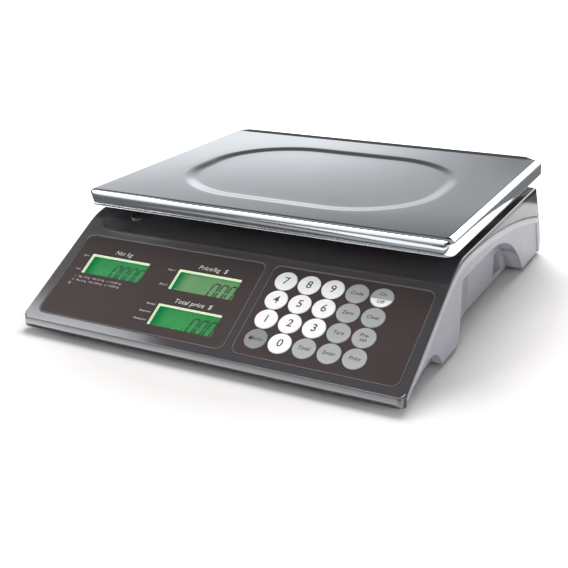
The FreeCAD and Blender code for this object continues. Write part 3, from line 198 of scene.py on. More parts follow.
def metal(name, colour, rough, along, scale, depth):
    """Metal with streaks or grain and a slightly uneven tone."""
    s = Shader(name)
    streak = s.noise(scale, 5.0, s.stretched(along), 0.65)
    s.set(Metallic=1.0,
          Base_Color=s.blend(s.spread(s.noise(9.0, 4.0), 0.0, 1.0), tinted(colour, 0.96),
                             tinted(colour, 1.03)),
          Roughness=s.spread(streak, rough * 0.8, rough * 1.25),
          Normal=s.bump(streak, depth))
    return s.material


def film_material(name, colour, rough):
    """Printed polyester film with a fine velvet texture."""
    s = Shader(name)
    s.set(Base_Color=s.blend(s.spread(s.noise(11.0, 3.0), 0.0, 1.0), tinted(colour, 0.93),
                             tinted(colour, 1.07)),
          Roughness=s.spread(s.noise(60.0, 4.0), rough * 0.9, rough * 1.12),
          Normal=s.bump(s.noise(2600.0, 2.0), 0.00002), Specular_IOR_Level=0.05)
    return s.material


def ink_and_painted_highlight(name, colour, rough=0.5):
    """Screen printing, a little uneven; the same shader makes the films' painted edge highlights.
    """
    s = Shader(name)
    s.set(Base_Color=s.blend(s.spread(s.noise(420.0, 3.0), 0.0, 1.0), tinted(colour, 0.9),
                             tinted(colour, 1.05)),
          Roughness=s.spread(s.noise(900.0, 2.0), rough * 0.85, rough * 1.15),
          Normal=s.bump(s.noise(3000.0, 2.0), 0.00001))
    return s.material


def display_material(name, left, top, deep, pale, power):
    """Green backlit display with painted shade of the bezel: deep along its left and top, paler
    away from them.

    left and top are the glass's left edge and rear edge, in metres along X and Y."""
    s = Shader(name)
    x, y = s.axis("X"), s.axis("Y")
    # painted shade: the bezel's shadow, deepening the green along the glass's left and top edges
    across = s.spread(x, 0.0, 1.0, left + 0.004, left + 0.013)
    down = s.spread(y, 1.0, 0.0, top - 0.006, top)
    out_of_bezel_shade = s.maths("MULTIPLY", across, down)
    cloud = s.spread(s.noise(55.0, 2.0), 0.72, 1.0)
    tone = s.blend(s.maths("MULTIPLY", out_of_bezel_shade, cloud), deep, pale)
    s.set(Base_Color=s.blend(0.22, (0.0, 0.0, 0.0), tone), Roughness=0.4, Emission_Color=tone,
          Emission_Strength=power, Specular_IOR_Level=0.0,
          Normal=s.bump(s.noise(1500.0, 2.0), 0.000008))
    return s.material


def board_material(name):
    """Green circuit board with a pattern of tracks."""
    s = Shader(name)
    tracks = s.add("ShaderNodeTexBrick", {
        "Vector": s.place, "Scale": 220.0, "Mortar Size": 0.08, "Color1": (0.010, 0.105, 0.045, 1),
        "Color2": (0.013, 0.125, 0.055, 1), "Mortar": (0.03, 0.20, 0.08, 1)})
    s.set(Base_Color=tracks.outputs["Color"], Roughness=s.spread(s.noise(80.0), 0.3, 0.45),
          Normal=s.bump(tracks.outputs["Fac"], 0.00004), Specular_IOR_Level=0.5)
    return s.material


def clear_material(name, tint, bend=1.46):
    """Clear plastic or liquid, very slightly uneven."""
    s = Shader(name)
    s.set(Base_Color=tint, Roughness=s.spread(s.noise(40.0), 0.0, 0.02),
          Transmission_Weight=1.0, IOR=bend, Normal=s.bump(s.noise(30.0, 2.0), 0.000004))
    return s.material


DEEP_GREEN, PALE_GREEN = (0.006, 0.26, 0.075), (0.16, 0.47, 0.19)
WASHES = {"weight": (0.075, 0.42, 0.15), "unit_price": (0.24, 0.47, 0.22),
          "total_price": (0.075, 0.41, 0.125)}
MATERIALS = {
    "cover_plastic": moulded("graphite_gloss", (0.052, 0.0465, 0.051), 0.12, 500.0, 0.000008),
    "base_plastic": moulded("light_grey_satin", (0.41, 0.42, 0.47), 0.36, 1100.0, 0.00005, 0.03),
    "film_dark": film_material("brown_film", (0.051, 0.039, 0.038), 0.5),
    "window_clear": clear_material("display_pane", (1.0, 1.0, 1.0), 1.03),
    # frame round each display: its glow is painted light, standing in for the backlight falling on
    # the window's walls
    "bezel_pale": moulded("pale_frame_painted_glow", (0.74, 0.77, 0.60), 0.45, 800.0, 0.00003, 0.03,
                          Emission_Color=(0.93, 1.0, 0.76, 1.0), Emission_Strength=0.42),
    "display_green": display_material("display_green", -1.0, 1.0, DEEP_GREEN, PALE_GREEN, 0.8),
    "light_white": moulded("light_guide", (0.80, 0.82, 0.80), 0.4, 700.0, 0.00003, 0.02),
    "key_white": moulded("key_white", (0.86, 0.85, 0.845), 0.42, 1200.0, 0.00003, 0.02),
    "key_grey": moulded("key_grey", (0.33, 0.332, 0.332), 0.42, 1200.0, 0.00003, 0.03),
    "key_dark": moulded("key_dark", (0.19, 0.19, 0.19), 0.42, 1200.0, 0.00003, 0.03),
    "board_green": board_material("circuit_board"),
    "stainless": metal("polished_stainless", (0.81, 0.825, 0.85), 0.07, (0.03, 1, 1), 900.0,
                       0.000001),
    "aluminium_bar": metal("milled_aluminium", (0.72, 0.73, 0.74), 0.32, (0.05, 1, 1), 700.0,
                           0.00002),
    "aluminium_cast": metal("cast_aluminium", (0.50, 0.51, 0.52), 0.5, (1, 1, 1), 600.0, 0.00008),
    "steel_zinc": metal("zinc_plated_steel", (0.66, 0.66, 0.62), 0.3, (1, 1, 1), 500.0, 0.00002),
    "rubber_black": moulded("black_rubber", (0.018, 0.018, 0.018), 0.7, 700.0, 0.0001, 0.15),
    "socket_black": moulded("black_socket", (0.022, 0.022, 0.023), 0.4, 900.0, 0.00004, 0.1),
    "vial_liquid": clear_material("level_liquid", (0.75, 0.9, 0.45)),
}
WHITE_INK = ink_and_painted_highlight("white_ink", (0.64, 0.63, 0.62))
FAINT_INK = ink_and_painted_highlight("faint_ink", (0.50, 0.47, 0.465))
BLACK_INK = ink_and_painted_highlight("black_ink", (0.016, 0.016, 0.018))
# thin light line round each film: painted highlight for the light caught by the film's edge
FILM_EDGE_HIGHLIGHT = ink_and_painted_highlight("film_edge_highlight", (0.11, 0.098, 0.095))
SEGMENT_INK = ink_and_painted_highlight("segment_green", (0.002, 0.028, 0.010), 0.6)
# base plastic made lighter along the seam border: a painted highlight for the light from above on
# its tilted face
BORDER_PAINTED_HIGHLIGHT = moulded("light_grey_painted_highlight", (0.53, 0.54, 0.59), 0.34, 1100.0, 0.00004, 0.03)

for node in NODES.values():
    for slot in node.material_slots:
        if slot.material:
            base = slot.material.name.split(".")[0]
            if base in MATERIALS:
                slot.material = MATERIALS[base]
for name, wash in WASHES.items():
    low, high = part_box(f"{name}_lcd")
    NODES[f"{name}_lcd"].material_slots[0].material = display_material(
        f"display_{name}", low[0], high[1], DEEP_GREEN, wash, 0.54)


# ---------------------------------------------------------------- meshes

def finish_piece(name, mesh, material, body, smooth_angle=35.0):
    """A piece of the visual model from a mesh, riding on a CAD body."""
    mesh.materials.clear()
    mesh.materials.append(material)
    for polygon in mesh.polygons:
        polygon.use_smooth = True
        polygon.material_index = 0
    mesh.set_sharp_from_angle(angle=math.radians(smooth_angle))
    piece = bpy.data.objects.new(name, mesh)
    COLLECTION.objects.link(piece)
    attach(piece, body)
    return piece


def add_mesh(name, vertices, faces, material, body, smooth_angle=35.0):
    mesh = bpy.data.meshes.new(name)
    mesh.from_pydata([Vector(v) for v in vertices], [], faces)
    mesh.validate()
    tidy = bmesh.new()
    tidy.from_mesh(mesh)
    bmesh.ops.recalc_face_normals(tidy, faces=tidy.faces)
    tidy.to_mesh(mesh)
    tidy.free()
    return finish_piece(name, mesh, material, body, smooth_angle)


def apply_modifiers(piece):
    graph = bpy.context.evaluated_depsgraph_get()
    graph.update()
    mesh = bpy.data.meshes.new_from_object(
        piece.evaluated_get(graph), preserve_all_data_layers=True, depsgraph=graph)
    piece.modifiers.clear()
    piece.data = mesh


def bevelled(name, node, body, width, weigh=None, segments=2):
    """A copy of a CAD node with its chosen sharp edges rounded, which stands for the node."""
    sharp_angle = math.radians(28.0)
    shape = bmesh.new()
    shape.from_mesh(NODES[node].data)
    bmesh.ops.remove_doubles(shape, verts=shape.verts, dist=2e-6)
    bmesh.ops.dissolve_limit(shape, angle_limit=math.radians(0.4), verts=shape.verts,
                             edges=shape.edges)
    weight = shape.edges.layers.float.new("bevel_weight_edge")
    for edge in shape.edges:
        if len(edge.link_faces) == 2 and edge.calc_face_angle() > sharp_angle:
            middle = (edge.verts[0].co + edge.verts[1].co) / (2 * MM)
            edge[weight] = weigh(edge, middle) if weigh else 1.0
    mesh = bpy.data.meshes.new(name)
    shape.to_mesh(mesh)
    shape.free()
    piece = finish_piece(name, mesh, NODES[node].material_slots[0].material, body)
    bevel = piece.modifiers.new("edges", "BEVEL")
    bevel.width = width * MM
    bevel.segments = segments
    bevel.limit_method = "WEIGHT"
    bevel.use_clamp_overlap = False
    shading = piece.modifiers.new("shading", "WEIGHTED_NORMAL")
    shading.mode = "FACE_AREA"
    shading.weight = 100
    shading.keep_sharp = True
    apply_modifiers(piece)
    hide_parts(node)
    return piece


def rounded_plan(half_x, half_y, radius):
    """Points round a rectangle with round corners, anticlockwise from the front right."""
    corner_steps, x_steps, y_steps = 12, 44, 36
    points = []
    corners = [(1, -1, -90), (1, 1, 0), (-1, 1, 90), (-1, -1, 180)]
    for index, (sx, sy, start) in enumerate(corners):
        cx, cy = sx * (half_x - radius), sy * (half_y - radius)
        for step in range(corner_steps + 1):
            angle = math.radians(start + 90 * step / corner_steps)
            points.append((cx + radius * math.cos(angle), cy + radius * math.sin(angle)))
        nx, ny, nstart = corners[(index + 1) % 4]
        angle = math.radians(nstart)
        end = (nx * (half_x - radius) + radius * math.cos(angle),
               ny * (half_y - radius) + radius * math.sin(angle))
        begin = points[-1]
        steps = y_steps if index % 2 == 0 else x_steps
        for step in range(1, steps):
            t = step / steps
            points.append((begin[0] + (end[0] - begin[0]) * t,
                           begin[1] + (end[1] - begin[1]) * t))
    return points


def ring_mesh(rings, close_ends=True):
    """Faces between closed rings of equally many points, with a fan at each end."""
    count = len(rings[0])
    vertices = [point for ring in rings for point in ring]
    faces = []
    for r in range(len(rings) - 1):
        for i in range(count):
            j = (i + 1) % count
            faces.append((r * count + i, r * count + j, (r + 1) * count + j, (r + 1) * count + i))
    if close_ends:
        for ring, first in ((rings[0], 0), (rings[-1], (len(rings) - 1) * count)):
            vertices.append(tuple(sum(p[k] for p in ring) / count for k in range(3)))
            faces += [(first + i, first + (i + 1) % count, len(vertices) - 1) for i in range(count)]
    return vertices, faces


def smooth_step(t):
    """0 to 1 with a level start and end."""
    t = max(0.0, min(1.0, t))
    return t * t * (3 - 2 * t)


# ---------------------------------------------------------------- tray

def tray_piece():
    """Stainless tray: turned-down edge with a rolled hem, pressed middle, rolled rear rim."""
    half_x, half_y = TRAY_HALF
    corner, edge = 9.0, 5.0                 # corner seen from above, bend along the edge
    rim_radius, rim_rise, rim_reach = 6.0, 1.3, 3.9
    rim_y = half_y - rim_radius
    middle_x, middle_y, middle_corner = 121.5, 93.0, 80.0
    shift, slope = -8.5, 12.5               # middle from the tray's centre; width of its slope
    pressed = -1.0                          # middle, from the tray's surface
    hem = 0.6
    bend, bend_inset = 5.165, 0.56
    bend_start, start_cosine = 7.4, 0.99167

    def rim(x, y):
        """Height of the rolled rear rim above the flat top."""
        offset = abs(y - rim_y)
        if offset >= rim_radius or y < rim_y - rim_reach:
            return 0.0
        fade = smooth_step((half_x - 7.0 - abs(x)) / 5.0)
        arch = math.sqrt(rim_radius ** 2 - offset ** 2)
        return max(0.0, fade * (rim_rise - rim_radius + arch))

    def ring(inset, height, lift=0.0, rimmed=False):
        """Outline of the tray, moved inwards; a rimmed one follows the rear rim."""
        points = []
        for x, y in rounded_plan(half_x - inset, half_y - inset, max(0.6, corner - inset)):
            z = height
            if rimmed and rim(x, y) > 0:
                z = max(z, TRAY_TOP + rim(x, y) - lift)
            points.append((x * MM, (y + TRAY_MIDDLE) * MM, z * MM))
        return points

    def middle_ring(shrink, height):
        return [(x * MM, (y + shift + TRAY_MIDDLE) * MM, height * MM) for x, y in
                rounded_plan(middle_x - shrink, middle_y - shrink, middle_corner - shrink)]

    def between(first, second, t):
        return [tuple(a + (b - a) * t for a, b in zip(p, q)) for p, q in zip(first, second)]

    def top(level, lift, rise):
        """Rings from the edge's end to the middle, at the sheet's upper or lower face."""
        rings = [ring(inset, level, lift, True) for inset in
                 (6.2, 7.0, 8.0, 9.0, 10.0, 11.0, 12.0, 14.0)]
        outer, foot = rings[-1], middle_ring(0.0, level)
        rings += [between(outer, foot, t) for t in (0.25, 0.5, 0.75)]
        for step in range(17):
            t = step / 16
            rings.append(middle_ring(-1.0 + (slope + 2.0) * t,
                                     level + rise * (0.5 - 0.5 * math.cos(math.pi * t))))
        innermost = rings[-1]
        centre = [(0.0, (shift + TRAY_MIDDLE) * MM, (level + rise) * MM)] * len(innermost)
        rings += [between(innermost, centre, t) for t in (0.15, 0.35, 0.55, 0.75, 0.9)]
        return rings

    outside = []
    for angle in range(-90, 91, 30):
        a = math.radians(angle)
        outside.append(ring(hem - hem * math.sin(a), TRAY_LOW + hem - hem * math.cos(a)))
    for inset, height in ((0.03, 83.45), (0.12, 83.8), (0.16, 84.2)):
        outside.append(ring(inset, height))
    for step in range(8):
        h = step / 7
        outside.append(ring(0.14 + 0.02 * h + 0.40 * h ** 2.2, 84.9 + 6.9 * h))
    for step in range(1, 13):
        a = math.radians(bend_start + (90 - bend_start) * step / 12)
        outside.append(ring(bend_inset + bend * (start_cosine - math.cos(a)),
                            TRAY_TOP - bend * (1 - math.sin(a)), 0.0, step > 5))
    outside += top(TRAY_TOP, 0.0, pressed)
    inside = []
    for angle in (-120, -150):
        a = math.radians(angle)
        inside.append(ring(hem - 0.65 * math.sin(a), TRAY_LOW + hem - hem * math.cos(a)))
    inside.append(ring(TRAY_SHEET, TRAY_LOW + 1.9))
    inside.append(ring(TRAY_SHEET, TRAY_TOP - edge - 0.4))
    small = edge - TRAY_SHEET
    for step in range(9):
        a = math.radians(90 * step / 8)
        inside.append(ring(edge - small * math.cos(a), TRAY_TOP - edge + small * math.sin(a),
                           TRAY_SHEET, step > 5))
    inside += top(TRAY_TOP - TRAY_SHEET, TRAY_SHEET, 0.0)
    vertices, faces = ring_mesh(inside[::-1] + outside)
    return add_mesh("stainless_tray", vertices, faces, MATERIALS["stainless"], "pan", 60.0)


tray = tray_piece()
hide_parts("tray")


# ---------------------------------------------------------------- housings

def cover_weight(edge, middle):
    """Round the cover's visible edges: top border, lip, seam line, film seats and rear wall."""
    x, y, z = abs(middle.x), middle.y, middle.z
    along = (y - FRONT) * math.cos(SLOPE) + (z - LIP_TOP) * math.sin(SLOPE)
    out = -(y - FRONT) * math.sin(SLOPE) + (z - LIP_TOP) * math.cos(SLOPE)
    slope_end = 112
    if x > 164.5:
        on_border = z > DECK - 1.0 or (abs(out) < 1.2 and along < slope_end)
        return 1.0 if on_border or (along >= slope_end and z > 60 and y < -50) else 0.45
    if abs(out) < 0.08 and 5 < along < 98:
        return 0.35
    if y > 150 and z > DECK - 1.0:
        return 0.8
    if z > DECK + 2.0:
        return 0.5
    return 0.0


cover = bevelled("moulded_cover", "upper_housing", "housing", 1.1, cover_weight, 3)


def base_weight(edge, middle):
    """Round the base's outer edges: seam, grip scoops, arches, foot line and rear corners."""
    x, y, z = abs(middle.x), middle.y, middle.z
    if (y > 180 and z < 8) or edge.calc_length() < 0.0012:
        return 0.0
    if x > 160:
        return 1.0
    return 0.5 if z < 4.3 and x > 145 else 0.0


base = bevelled("moulded_base", "lower_housing", "housing", 0.6, base_weight)


def border_piece(side):
    """Raised border of the base along the seam, from the lip to the rear corner, in a lighter copy
    of the base plastic: a painted highlight.
    """
    shape = bmesh.new()
    shape.from_mesh(NODES["lower_housing"].data)
    tree = BVHTree.FromBMesh(shape)
    shape.free()

    def wall(y, z):
        hit = tree.ray_cast(Vector((side * 0.3, y * MM, z * MM)), Vector((-side, 0, 0)))
        return None if hit[0] is None else abs(hit[0].x) / MM

    def seam(y):
        z = 76.0
        while z > 3.0:
            face = wall(y, z)
            if face is not None and face > WALL_CLEAR:
                break
            z -= 0.1
        return z

    path = []
    y = -174.0
    while y <= 167.0:
        path.append(Vector((0.0, y, seam(y))))
        y += 3.5 if y < -60 or y > 60 else 6.0
    inner = [(a + 2 * b + c) / 4 for a, b, c in zip(path, path[1:], path[2:])]
    smooth = [path[0], *inner, path[-1]]
    profile = ((0.9, 0.0), (1.3, 0.22), (3.0, 0.34), (5.2, 0.5), (5.7, 0.44), (6.0, 0.25),
               (6.2, -0.1))
    no_wall = 150.0
    rings = []
    for index, point in enumerate(smooth):
        ahead = smooth[min(index + 1, len(smooth) - 1)] - smooth[max(index - 1, 0)]
        down = Vector((0, ahead.z, -ahead.y)).normalized()
        taper = smooth_step(min(1.0, (index + 0.5) / 8)) * 0.75 + 0.25
        ring = []
        for width, proud in profile:
            place = point + down * width * taper
            face = wall(place.y, place.z)
            ring.append((place, no_wall if face is None else face, proud * taper))
        flat = [face for place, face, proud in ring if face > WALL_CLEAR]
        rings.append([(place, max(face, flat[0]) if flat else no_wall, proud)
                      for place, face, proud in ring])
    vertices, faces = [], []
    count = len(profile)
    for ring in rings:
        whole = all(face > WALL_CLEAR for place, face, proud in ring)
        for place, face, proud in ring:
            across = min(WALL_LIMIT, (face if whole else WALL_FACE) + proud)
            vertices.append((side * across * MM, place.y * MM, place.z * MM))
    for r in range(len(rings) - 1):
        if any(face <= WALL_CLEAR for ring in rings[r:r + 2] for place, face, proud in ring):
            continue
        for i in range(count - 1):
            a = r * count + i
            faces.append((a, a + 1, a + count + 1, a + count))
    name = "base_border_right" if side > 0 else "base_border_left"
    mesh = bpy.data.meshes.new(name)
    mesh.from_pydata(vertices, [], faces)
    tidy = bmesh.new()
    tidy.from_mesh(mesh)
    bmesh.ops.delete(tidy, geom=[v for v in tidy.verts if not v.link_faces], context="VERTS")
    bmesh.ops.recalc_face_normals(tidy, faces=tidy.faces)
    if tidy.faces and sum(f.normal.x * f.calc_area() for f in tidy.faces) * side < 0:
        bmesh.ops.reverse_faces(tidy, faces=tidy.faces)
    tidy.to_mesh(mesh)
    tidy.free()
    piece = finish_piece(name, mesh, BORDER_PAINTED_HIGHLIGHT, "housing", 60.0)
    thick = piece.modifiers.new("thick", "SOLIDIFY")
    thick.thickness = 0.0006
    thick.offset = -1.0
    apply_modifiers(piece)


for side in (1, -1):
    border_piece(side)

piece = bevelled("level_bezel", "level_ring", "housing", 0.35)
for node, piece_name in (("platform_spider", "cast_spider"), ("platform_column", "cast_column")):
    piece = bevelled(piece_name, node, "platform", 0.6)
for corner in ("front_left", "front_right", "rear_left", "rear_right"):
    piece = bevelled(f"rubber_foot_{corner}", f"foot_{corner}", f"pad_{corner}", 0.3)


# ---------------------------------------------------------------- plates, lines and lettering

def round_outline(x0, x1, y0, y1, radius, steps=6):
    """Points round a flat rectangle with round corners, anticlockwise."""
    points = []
    for cx, cy, start in ((x1 - radius, y0 + radius, -90), (x1 - radius, y1 - radius, 0),
                          (x0 + radius, y1 - radius, 90), (x0 + radius, y0 + radius, 180)):
        for step in range(steps + 1):
            angle = math.radians(start + 90 * step / steps)
            points.append((cx + radius * math.cos(angle), cy + radius * math.sin(angle)))
    return points


def grow(points, amount):
    """Move a closed anticlockwise outline outwards."""
    result = []
    for index, point in enumerate(points):
        before, after = Vector(points[index - 1]), Vector(points[(index + 1) % len(points)])
        tangent = (after - before).normalized()
        result.append((point[0] + tangent.y * amount, point[1] - tangent.x * amount))
    return result


def line_ring(outline, width):
    """A closed raised line along an outline, as vertices and faces in its own plane."""
    rings = ((0.0, 0.0), (0.2, PRINT_PROUD), (0.8, PRINT_PROUD), (1.0, 0.0))
    count = len(outline)
    vertices = [(x * MM, y * MM, z * MM) for share, z in rings
                for x, y in (grow(outline, -width * share) if share else outline)]
    faces = []
    for r in range(4):
        for i in range(count):
            j = (i + 1) % count
            s = (r + 1) % 4
            faces.append((r * count + i, r * count + j, s * count + j, s * count + i))
    return vertices, faces


def placed(matrix, parts):
    """Join (vertices, faces) lists into one, moved by a matrix."""
    vertices, faces = [], []
    for own, ties in parts:
        first = len(vertices)
        vertices += [tuple(matrix @ Vector(v)) for v in own]
        faces += [tuple(first + i for i in face) for face in ties]
    return vertices, faces


def words(text, size, across, along, align="CENTER", slant=0.22, bold=0.0, spacing=1.0):
    """Lettering as flat raised glyphs, as vertices and faces in its own plane."""
    curve = bpy.data.curves.new("glyphs", "FONT")
    curve.body = text
    curve.size = size * MM
    curve.shear = slant
    curve.offset = bold * MM
    curve.align_x = align
    curve.align_y = "CENTER"
    curve.space_character = spacing
    curve.space_line = 0.85
    curve.extrude = PRINT_PROUD * MM / 2
    curve.resolution_u = 3
    thing = bpy.data.objects.new("glyphs", curve)
    COLLECTION.objects.link(thing)
    graph = bpy.context.evaluated_depsgraph_get()
    graph.update()
    mesh = bpy.data.meshes.new_from_object(thing.evaluated_get(graph), depsgraph=graph)
    shape = bmesh.new()
    shape.from_mesh(mesh)
    bmesh.ops.remove_doubles(shape, verts=shape.verts, dist=1e-7)
    bmesh.ops.dissolve_limit(shape, angle_limit=math.radians(1.0), verts=shape.verts,
                             edges=shape.edges)
    shape.verts.ensure_lookup_table()
    vertices = [(v.co.x + across * MM, v.co.y + along * MM, v.co.z + PRINT_PROUD * MM / 2)
                for v in shape.verts]
    faces = [tuple(v.index for v in face.verts) for face in shape.faces]
    shape.free()
    bpy.data.objects.remove(thing)
    bpy.data.curves.remove(curve)
    bpy.data.meshes.remove(mesh)
    return vertices, faces


def merged(name, matrix, parts, material, body):
    """One piece from several (vertices, faces) lists that share a plane."""
    piece = add_mesh(name, *placed(matrix, parts), material, body, 30.0)
    return piece


def bevelled_plate(outline, low, high, edge):
    """A flat plate with rounded upper edges, from its outline."""
    levels = ((0.0, low), (0.0, high - edge), (-0.3 * edge, high - 0.3 * edge), (-edge, high))
    rings = [[(x * MM, y * MM, z * MM) for x, y in grow(outline, inset)] for inset, z in levels]
    return ring_mesh(rings)


def window_pane(across, along):
    """A clear pane that fills a window but for a hairline all round."""
    half_x, half_y = (size / 2 - PANE_CLEARANCE for size in WINDOW)
    outline = round_outline(across - half_x, across + half_x, along - half_y, along + half_y,
                            1.0, 4)
    return bevelled_plate(outline, -0.8, -0.02, 0.12)


def glaze(name, matrix, centres):
    """Window panes in one plane, which let all light through."""
    piece = merged(name, matrix, [window_pane(*centre) for centre in centres],
                   MATERIALS["window_clear"], "housing")
    piece.visible_shadow = False
    piece.visible_diffuse = False
    return piece


# the films' light edge lines: a painted highlight along each film's edge, laid on as a thin raised
# strip
for name, (left, right, low, high), width in (("display_film_line", DISPLAY_FILM, 0.55),
                                              ("keypad_film_line", KEYPAD_FILM, 0.5)):
    outline = round_outline(left + FILM_LINE_INSET, right - FILM_LINE_INSET,
                            low + FILM_LINE_INSET, high - FILM_LINE_INSET, FILM_LINE_RADIUS)
    merged(name, CONSOLE, [line_ring(outline, width)], FILM_EDGE_HIGHLIGHT, "housing")

panes = glaze("clear_panes", CONSOLE, WINDOWS.values())
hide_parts("display_windows")


def nought(across, along, tall):
    """The six slanted segments of a nought, as vertices and faces in the display's plane."""
    wide, half, slant = FIGURE_WIDE, tall / 2, 0.17
    thick, gap = wide * 0.3, wide * 0.02
    runs = (((0, tall), (wide, tall)), ((wide, half), (wide, tall)), ((wide, 0), (wide, half)),
            ((0, 0), (wide, 0)), ((0, 0), (0, half)), ((0, half), (0, tall)))
    parts = []
    for (x0, y0), (x1, y1) in runs:
        run = Vector((x1 - x0, y1 - y0)).normalized()
        side = Vector((-run.y, run.x)) * thick / 2
        start, end = Vector((x0, y0)) + run * gap, Vector((x1, y1)) - run * gap
        corners = [start, start + run * thick / 2 - side, end - run * thick / 2 - side, end,
                   end - run * thick / 2 + side, start + run * thick / 2 + side]
        outline = [(across + c.x + c.y * slant, along + c.y) for c in corners]
        vertices = [(x * MM, y * MM, z * MM) for z in (0.0, FIGURE_PROUD) for x, y in outline]
        sides = [(i, (i + 1) % 6, 6 + (i + 1) % 6, 6 + i) for i in range(6)]
        parts.append((vertices, [tuple(range(5, -1, -1)), tuple(range(6, 12)), *sides]))
    return parts


def point_mark(across, along):
    """The decimal point, a small block with round corners."""
    half = 0.5
    outline = round_outline(across - half, across + half, along - half, along + half, 0.3, 3)
    return ring_mesh([[(x * MM, y * MM, z * MM) for x, y in outline]
                      for z in (0.0, FIGURE_PROUD)])


def reading(decimals, end, along, tall):
    """A reading of nought whose last figure ends at the given place."""
    parts = []
    for index in range(decimals + 1):
        across = end - FIGURE_WIDE - (decimals - index) * FIGURE_PITCH
        parts += nought(across, along, tall)
        if index == 0:
            gap = FIGURE_PITCH - FIGURE_WIDE
            parts.append(point_mark(across + FIGURE_WIDE + gap / 2 - 0.2, along))
    return parts


for name, decimals in (("weight", 3), ("unit_price", 2), ("total_price", 2)):
    merged(f"{name}_figures", console_frame(*WINDOWS[name], DISPLAY_GLASS),
           reading(decimals, FIGURES_END, -10.6, 15.5), SEGMENT_INK, "housing")

# captions over the windows, small marks beside them
captions = []
for name, text in (("weight", "Net kg"), ("unit_price", "Price/kg  $"),
                   ("total_price", "Total price  $")):
    across, along = WINDOWS[name]
    captions.append(words(text, 6.0, across, along + WINDOW[1] / 2 + 4.7, spacing=1.03))
merged("display_captions", CONSOLE, captions, WHITE_INK, "housing")
marks = []
for name, rows in (("weight", (("Zero", 7.6), ("Tare", -7.6))),
                   ("unit_price", (("Mem 1", 8.0), ("Mem 2", -7.4))),
                   ("total_price", (("Receipt", 8.6), ("Fixed tare", 0.6),
                                    ("Fixed price", -7.4)))):
    across, along = WINDOWS[name]
    for text, up in rows:
        marks.append(words(text, 2.7, across - WINDOW[0] / 2 - 2.2, along + up, "RIGHT"))
for text, along in (("1   Max 15 kg   Min 0.1 kg   e = 0.005 kg", 49.6),
                    ("2   Max 6 kg   Min 0.04 kg   e = 0.002 kg", 45.7)):
    marks.append(words(text, 2.6, WINDOWS["weight"][0] - 33.0, along, "LEFT", spacing=1.1))
marks.append(line_ring(round_outline(-146.4, -143.8, 40.4, 43.0, 1.25, 5), 0.4))
merged("display_marks", CONSOLE, marks, FAINT_INK, "housing")

# ---------------------------------------------------------------- keys

KEY_0_FRAME = console_frame(KEY_FIRST[0] + KEY_PITCH[0], KEY_FIRST[1])
STEM_END = min((KEY_0_FRAME.inverted() @ v.co).z for v in NODES["key_0"].data.vertices) / MM
LEGENDS = {"memory": "Memo", "total": "Total", "enter": "Enter", "receipt": "Print",
           "tare": "Tare", "preset": "Pre-\nset", "zero": "Zero", "clear": "Clear",
           "code": "Code"}


def lathe(profile, centre, count):
    """A round shape from (radius, height) pairs, as vertices and faces in its own plane."""
    turns = [(math.cos(math.tau * i / count), math.sin(math.tau * i / count))
             for i in range(count)]
    return ring_mesh([[((centre[0] + radius * x) * MM, (centre[1] + radius * y) * MM, height * MM)
                       for x, y in turns] for radius, height in profile])


def key_cap(name, across, along, material):
    """Moulded cap: a slightly crowned button with a rounded rim on its stem."""
    stem_radius, skirt, rim = 4.0, -1.2, 0.1
    profile = [(stem_radius, STEM_END), (stem_radius, skirt), (KEY_RADIUS - 0.1, skirt),
               (KEY_RADIUS, skirt + 0.1), (KEY_RADIUS, rim)]
    for step in range(1, 6):
        angle = math.radians(18 * step)
        profile.append((KEY_RADIUS - 0.45 + 0.45 * math.cos(angle), rim + 0.42 * math.sin(angle)))
    profile += [(KEY_RADIUS * t, 0.52 + 0.08 * (1 - t * t)) for t in (0.85, 0.65, 0.4, 0.15)]
    vertices, faces = placed(console_frame(across, along), [lathe(profile, (0, 0), 64)])
    cap = add_mesh(f"cap_{name}", vertices, faces, material, f"key_{name}_button", 40.0)
    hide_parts(f"key_{name}")


def power_half():
    """White lower half of the power key's face."""
    radius, below, steps = KEY_RADIUS - 0.6, 1.6, 40
    tilt = math.asin(below / radius)
    turns = [math.pi + tilt + (math.pi - 2 * tilt) * i / steps for i in range(steps + 1)]
    arc = [(radius * math.cos(a), radius * math.sin(a)) for a in turns]
    return bevelled_plate(arc, -0.25, 0.03, 0.02)


for row, names in enumerate(KEY_ROWS):
    for column, name in enumerate(names):
        across, along = KEY_FIRST[0] + KEY_PITCH[0] * column, KEY_FIRST[1] + KEY_PITCH[1] * row
        face = console_frame(across, along, KEY_TOP)
        body = f"key_{name}_button"
        if name.isdigit():
            slot, legend = "key_white", [words(name, 9.8, 0, 0, bold=0.1, slant=0.08)]
        elif name == "power":
            slot, legend = "key_grey", [words("On", 4.4, 0, 3.0, slant=0.12, bold=0.03),
                                        words("Off", 4.4, 0, -4.0, slant=0.12, bold=0.06)]
        else:
            slot = "key_dark" if name == "memory" else "key_grey"
            legend = [words(LEGENDS[name], 4.6, 0, 0, slant=0.12, bold=0.06)]
        key_cap(name, across, along, MATERIALS[slot])
        if name == "power":
            merged("power_key_half", face, [power_half()], MATERIALS["key_white"], body)
        merged(f"legend_{name}", face, legend, BLACK_INK, body)

# ---------------------------------------------------------------- customer side

rear_centres = [(across, 0.0) for across in (-REAR_PITCH, 0.0, REAR_PITCH)]
rear_panes = glaze("customer_panes", REAR, rear_centres)
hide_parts("customer_display_windows")
figures, rear_marks = [], []
for (across, along), decimals, unit in zip(rear_centres, (2, 2, 3), ("$", "$/kg", "kg")):
    figures += reading(decimals, across + FIGURES_END, along - 7.7, 15.0)
    rear_marks.append(words(unit, 3.0, across + 29.0, along + 12.6, "RIGHT"))
glass = max((REAR.inverted() @ v.co).z for v in NODES["customer_lcds"].data.vertices) / MM
merged("customer_figures", rear_frame(0, REAR_MIDDLE, glass), figures, SEGMENT_INK, "housing")
merged("customer_marks", REAR, rear_marks, WHITE_INK, "housing")

# ---------------------------------------------------------------- bubble level

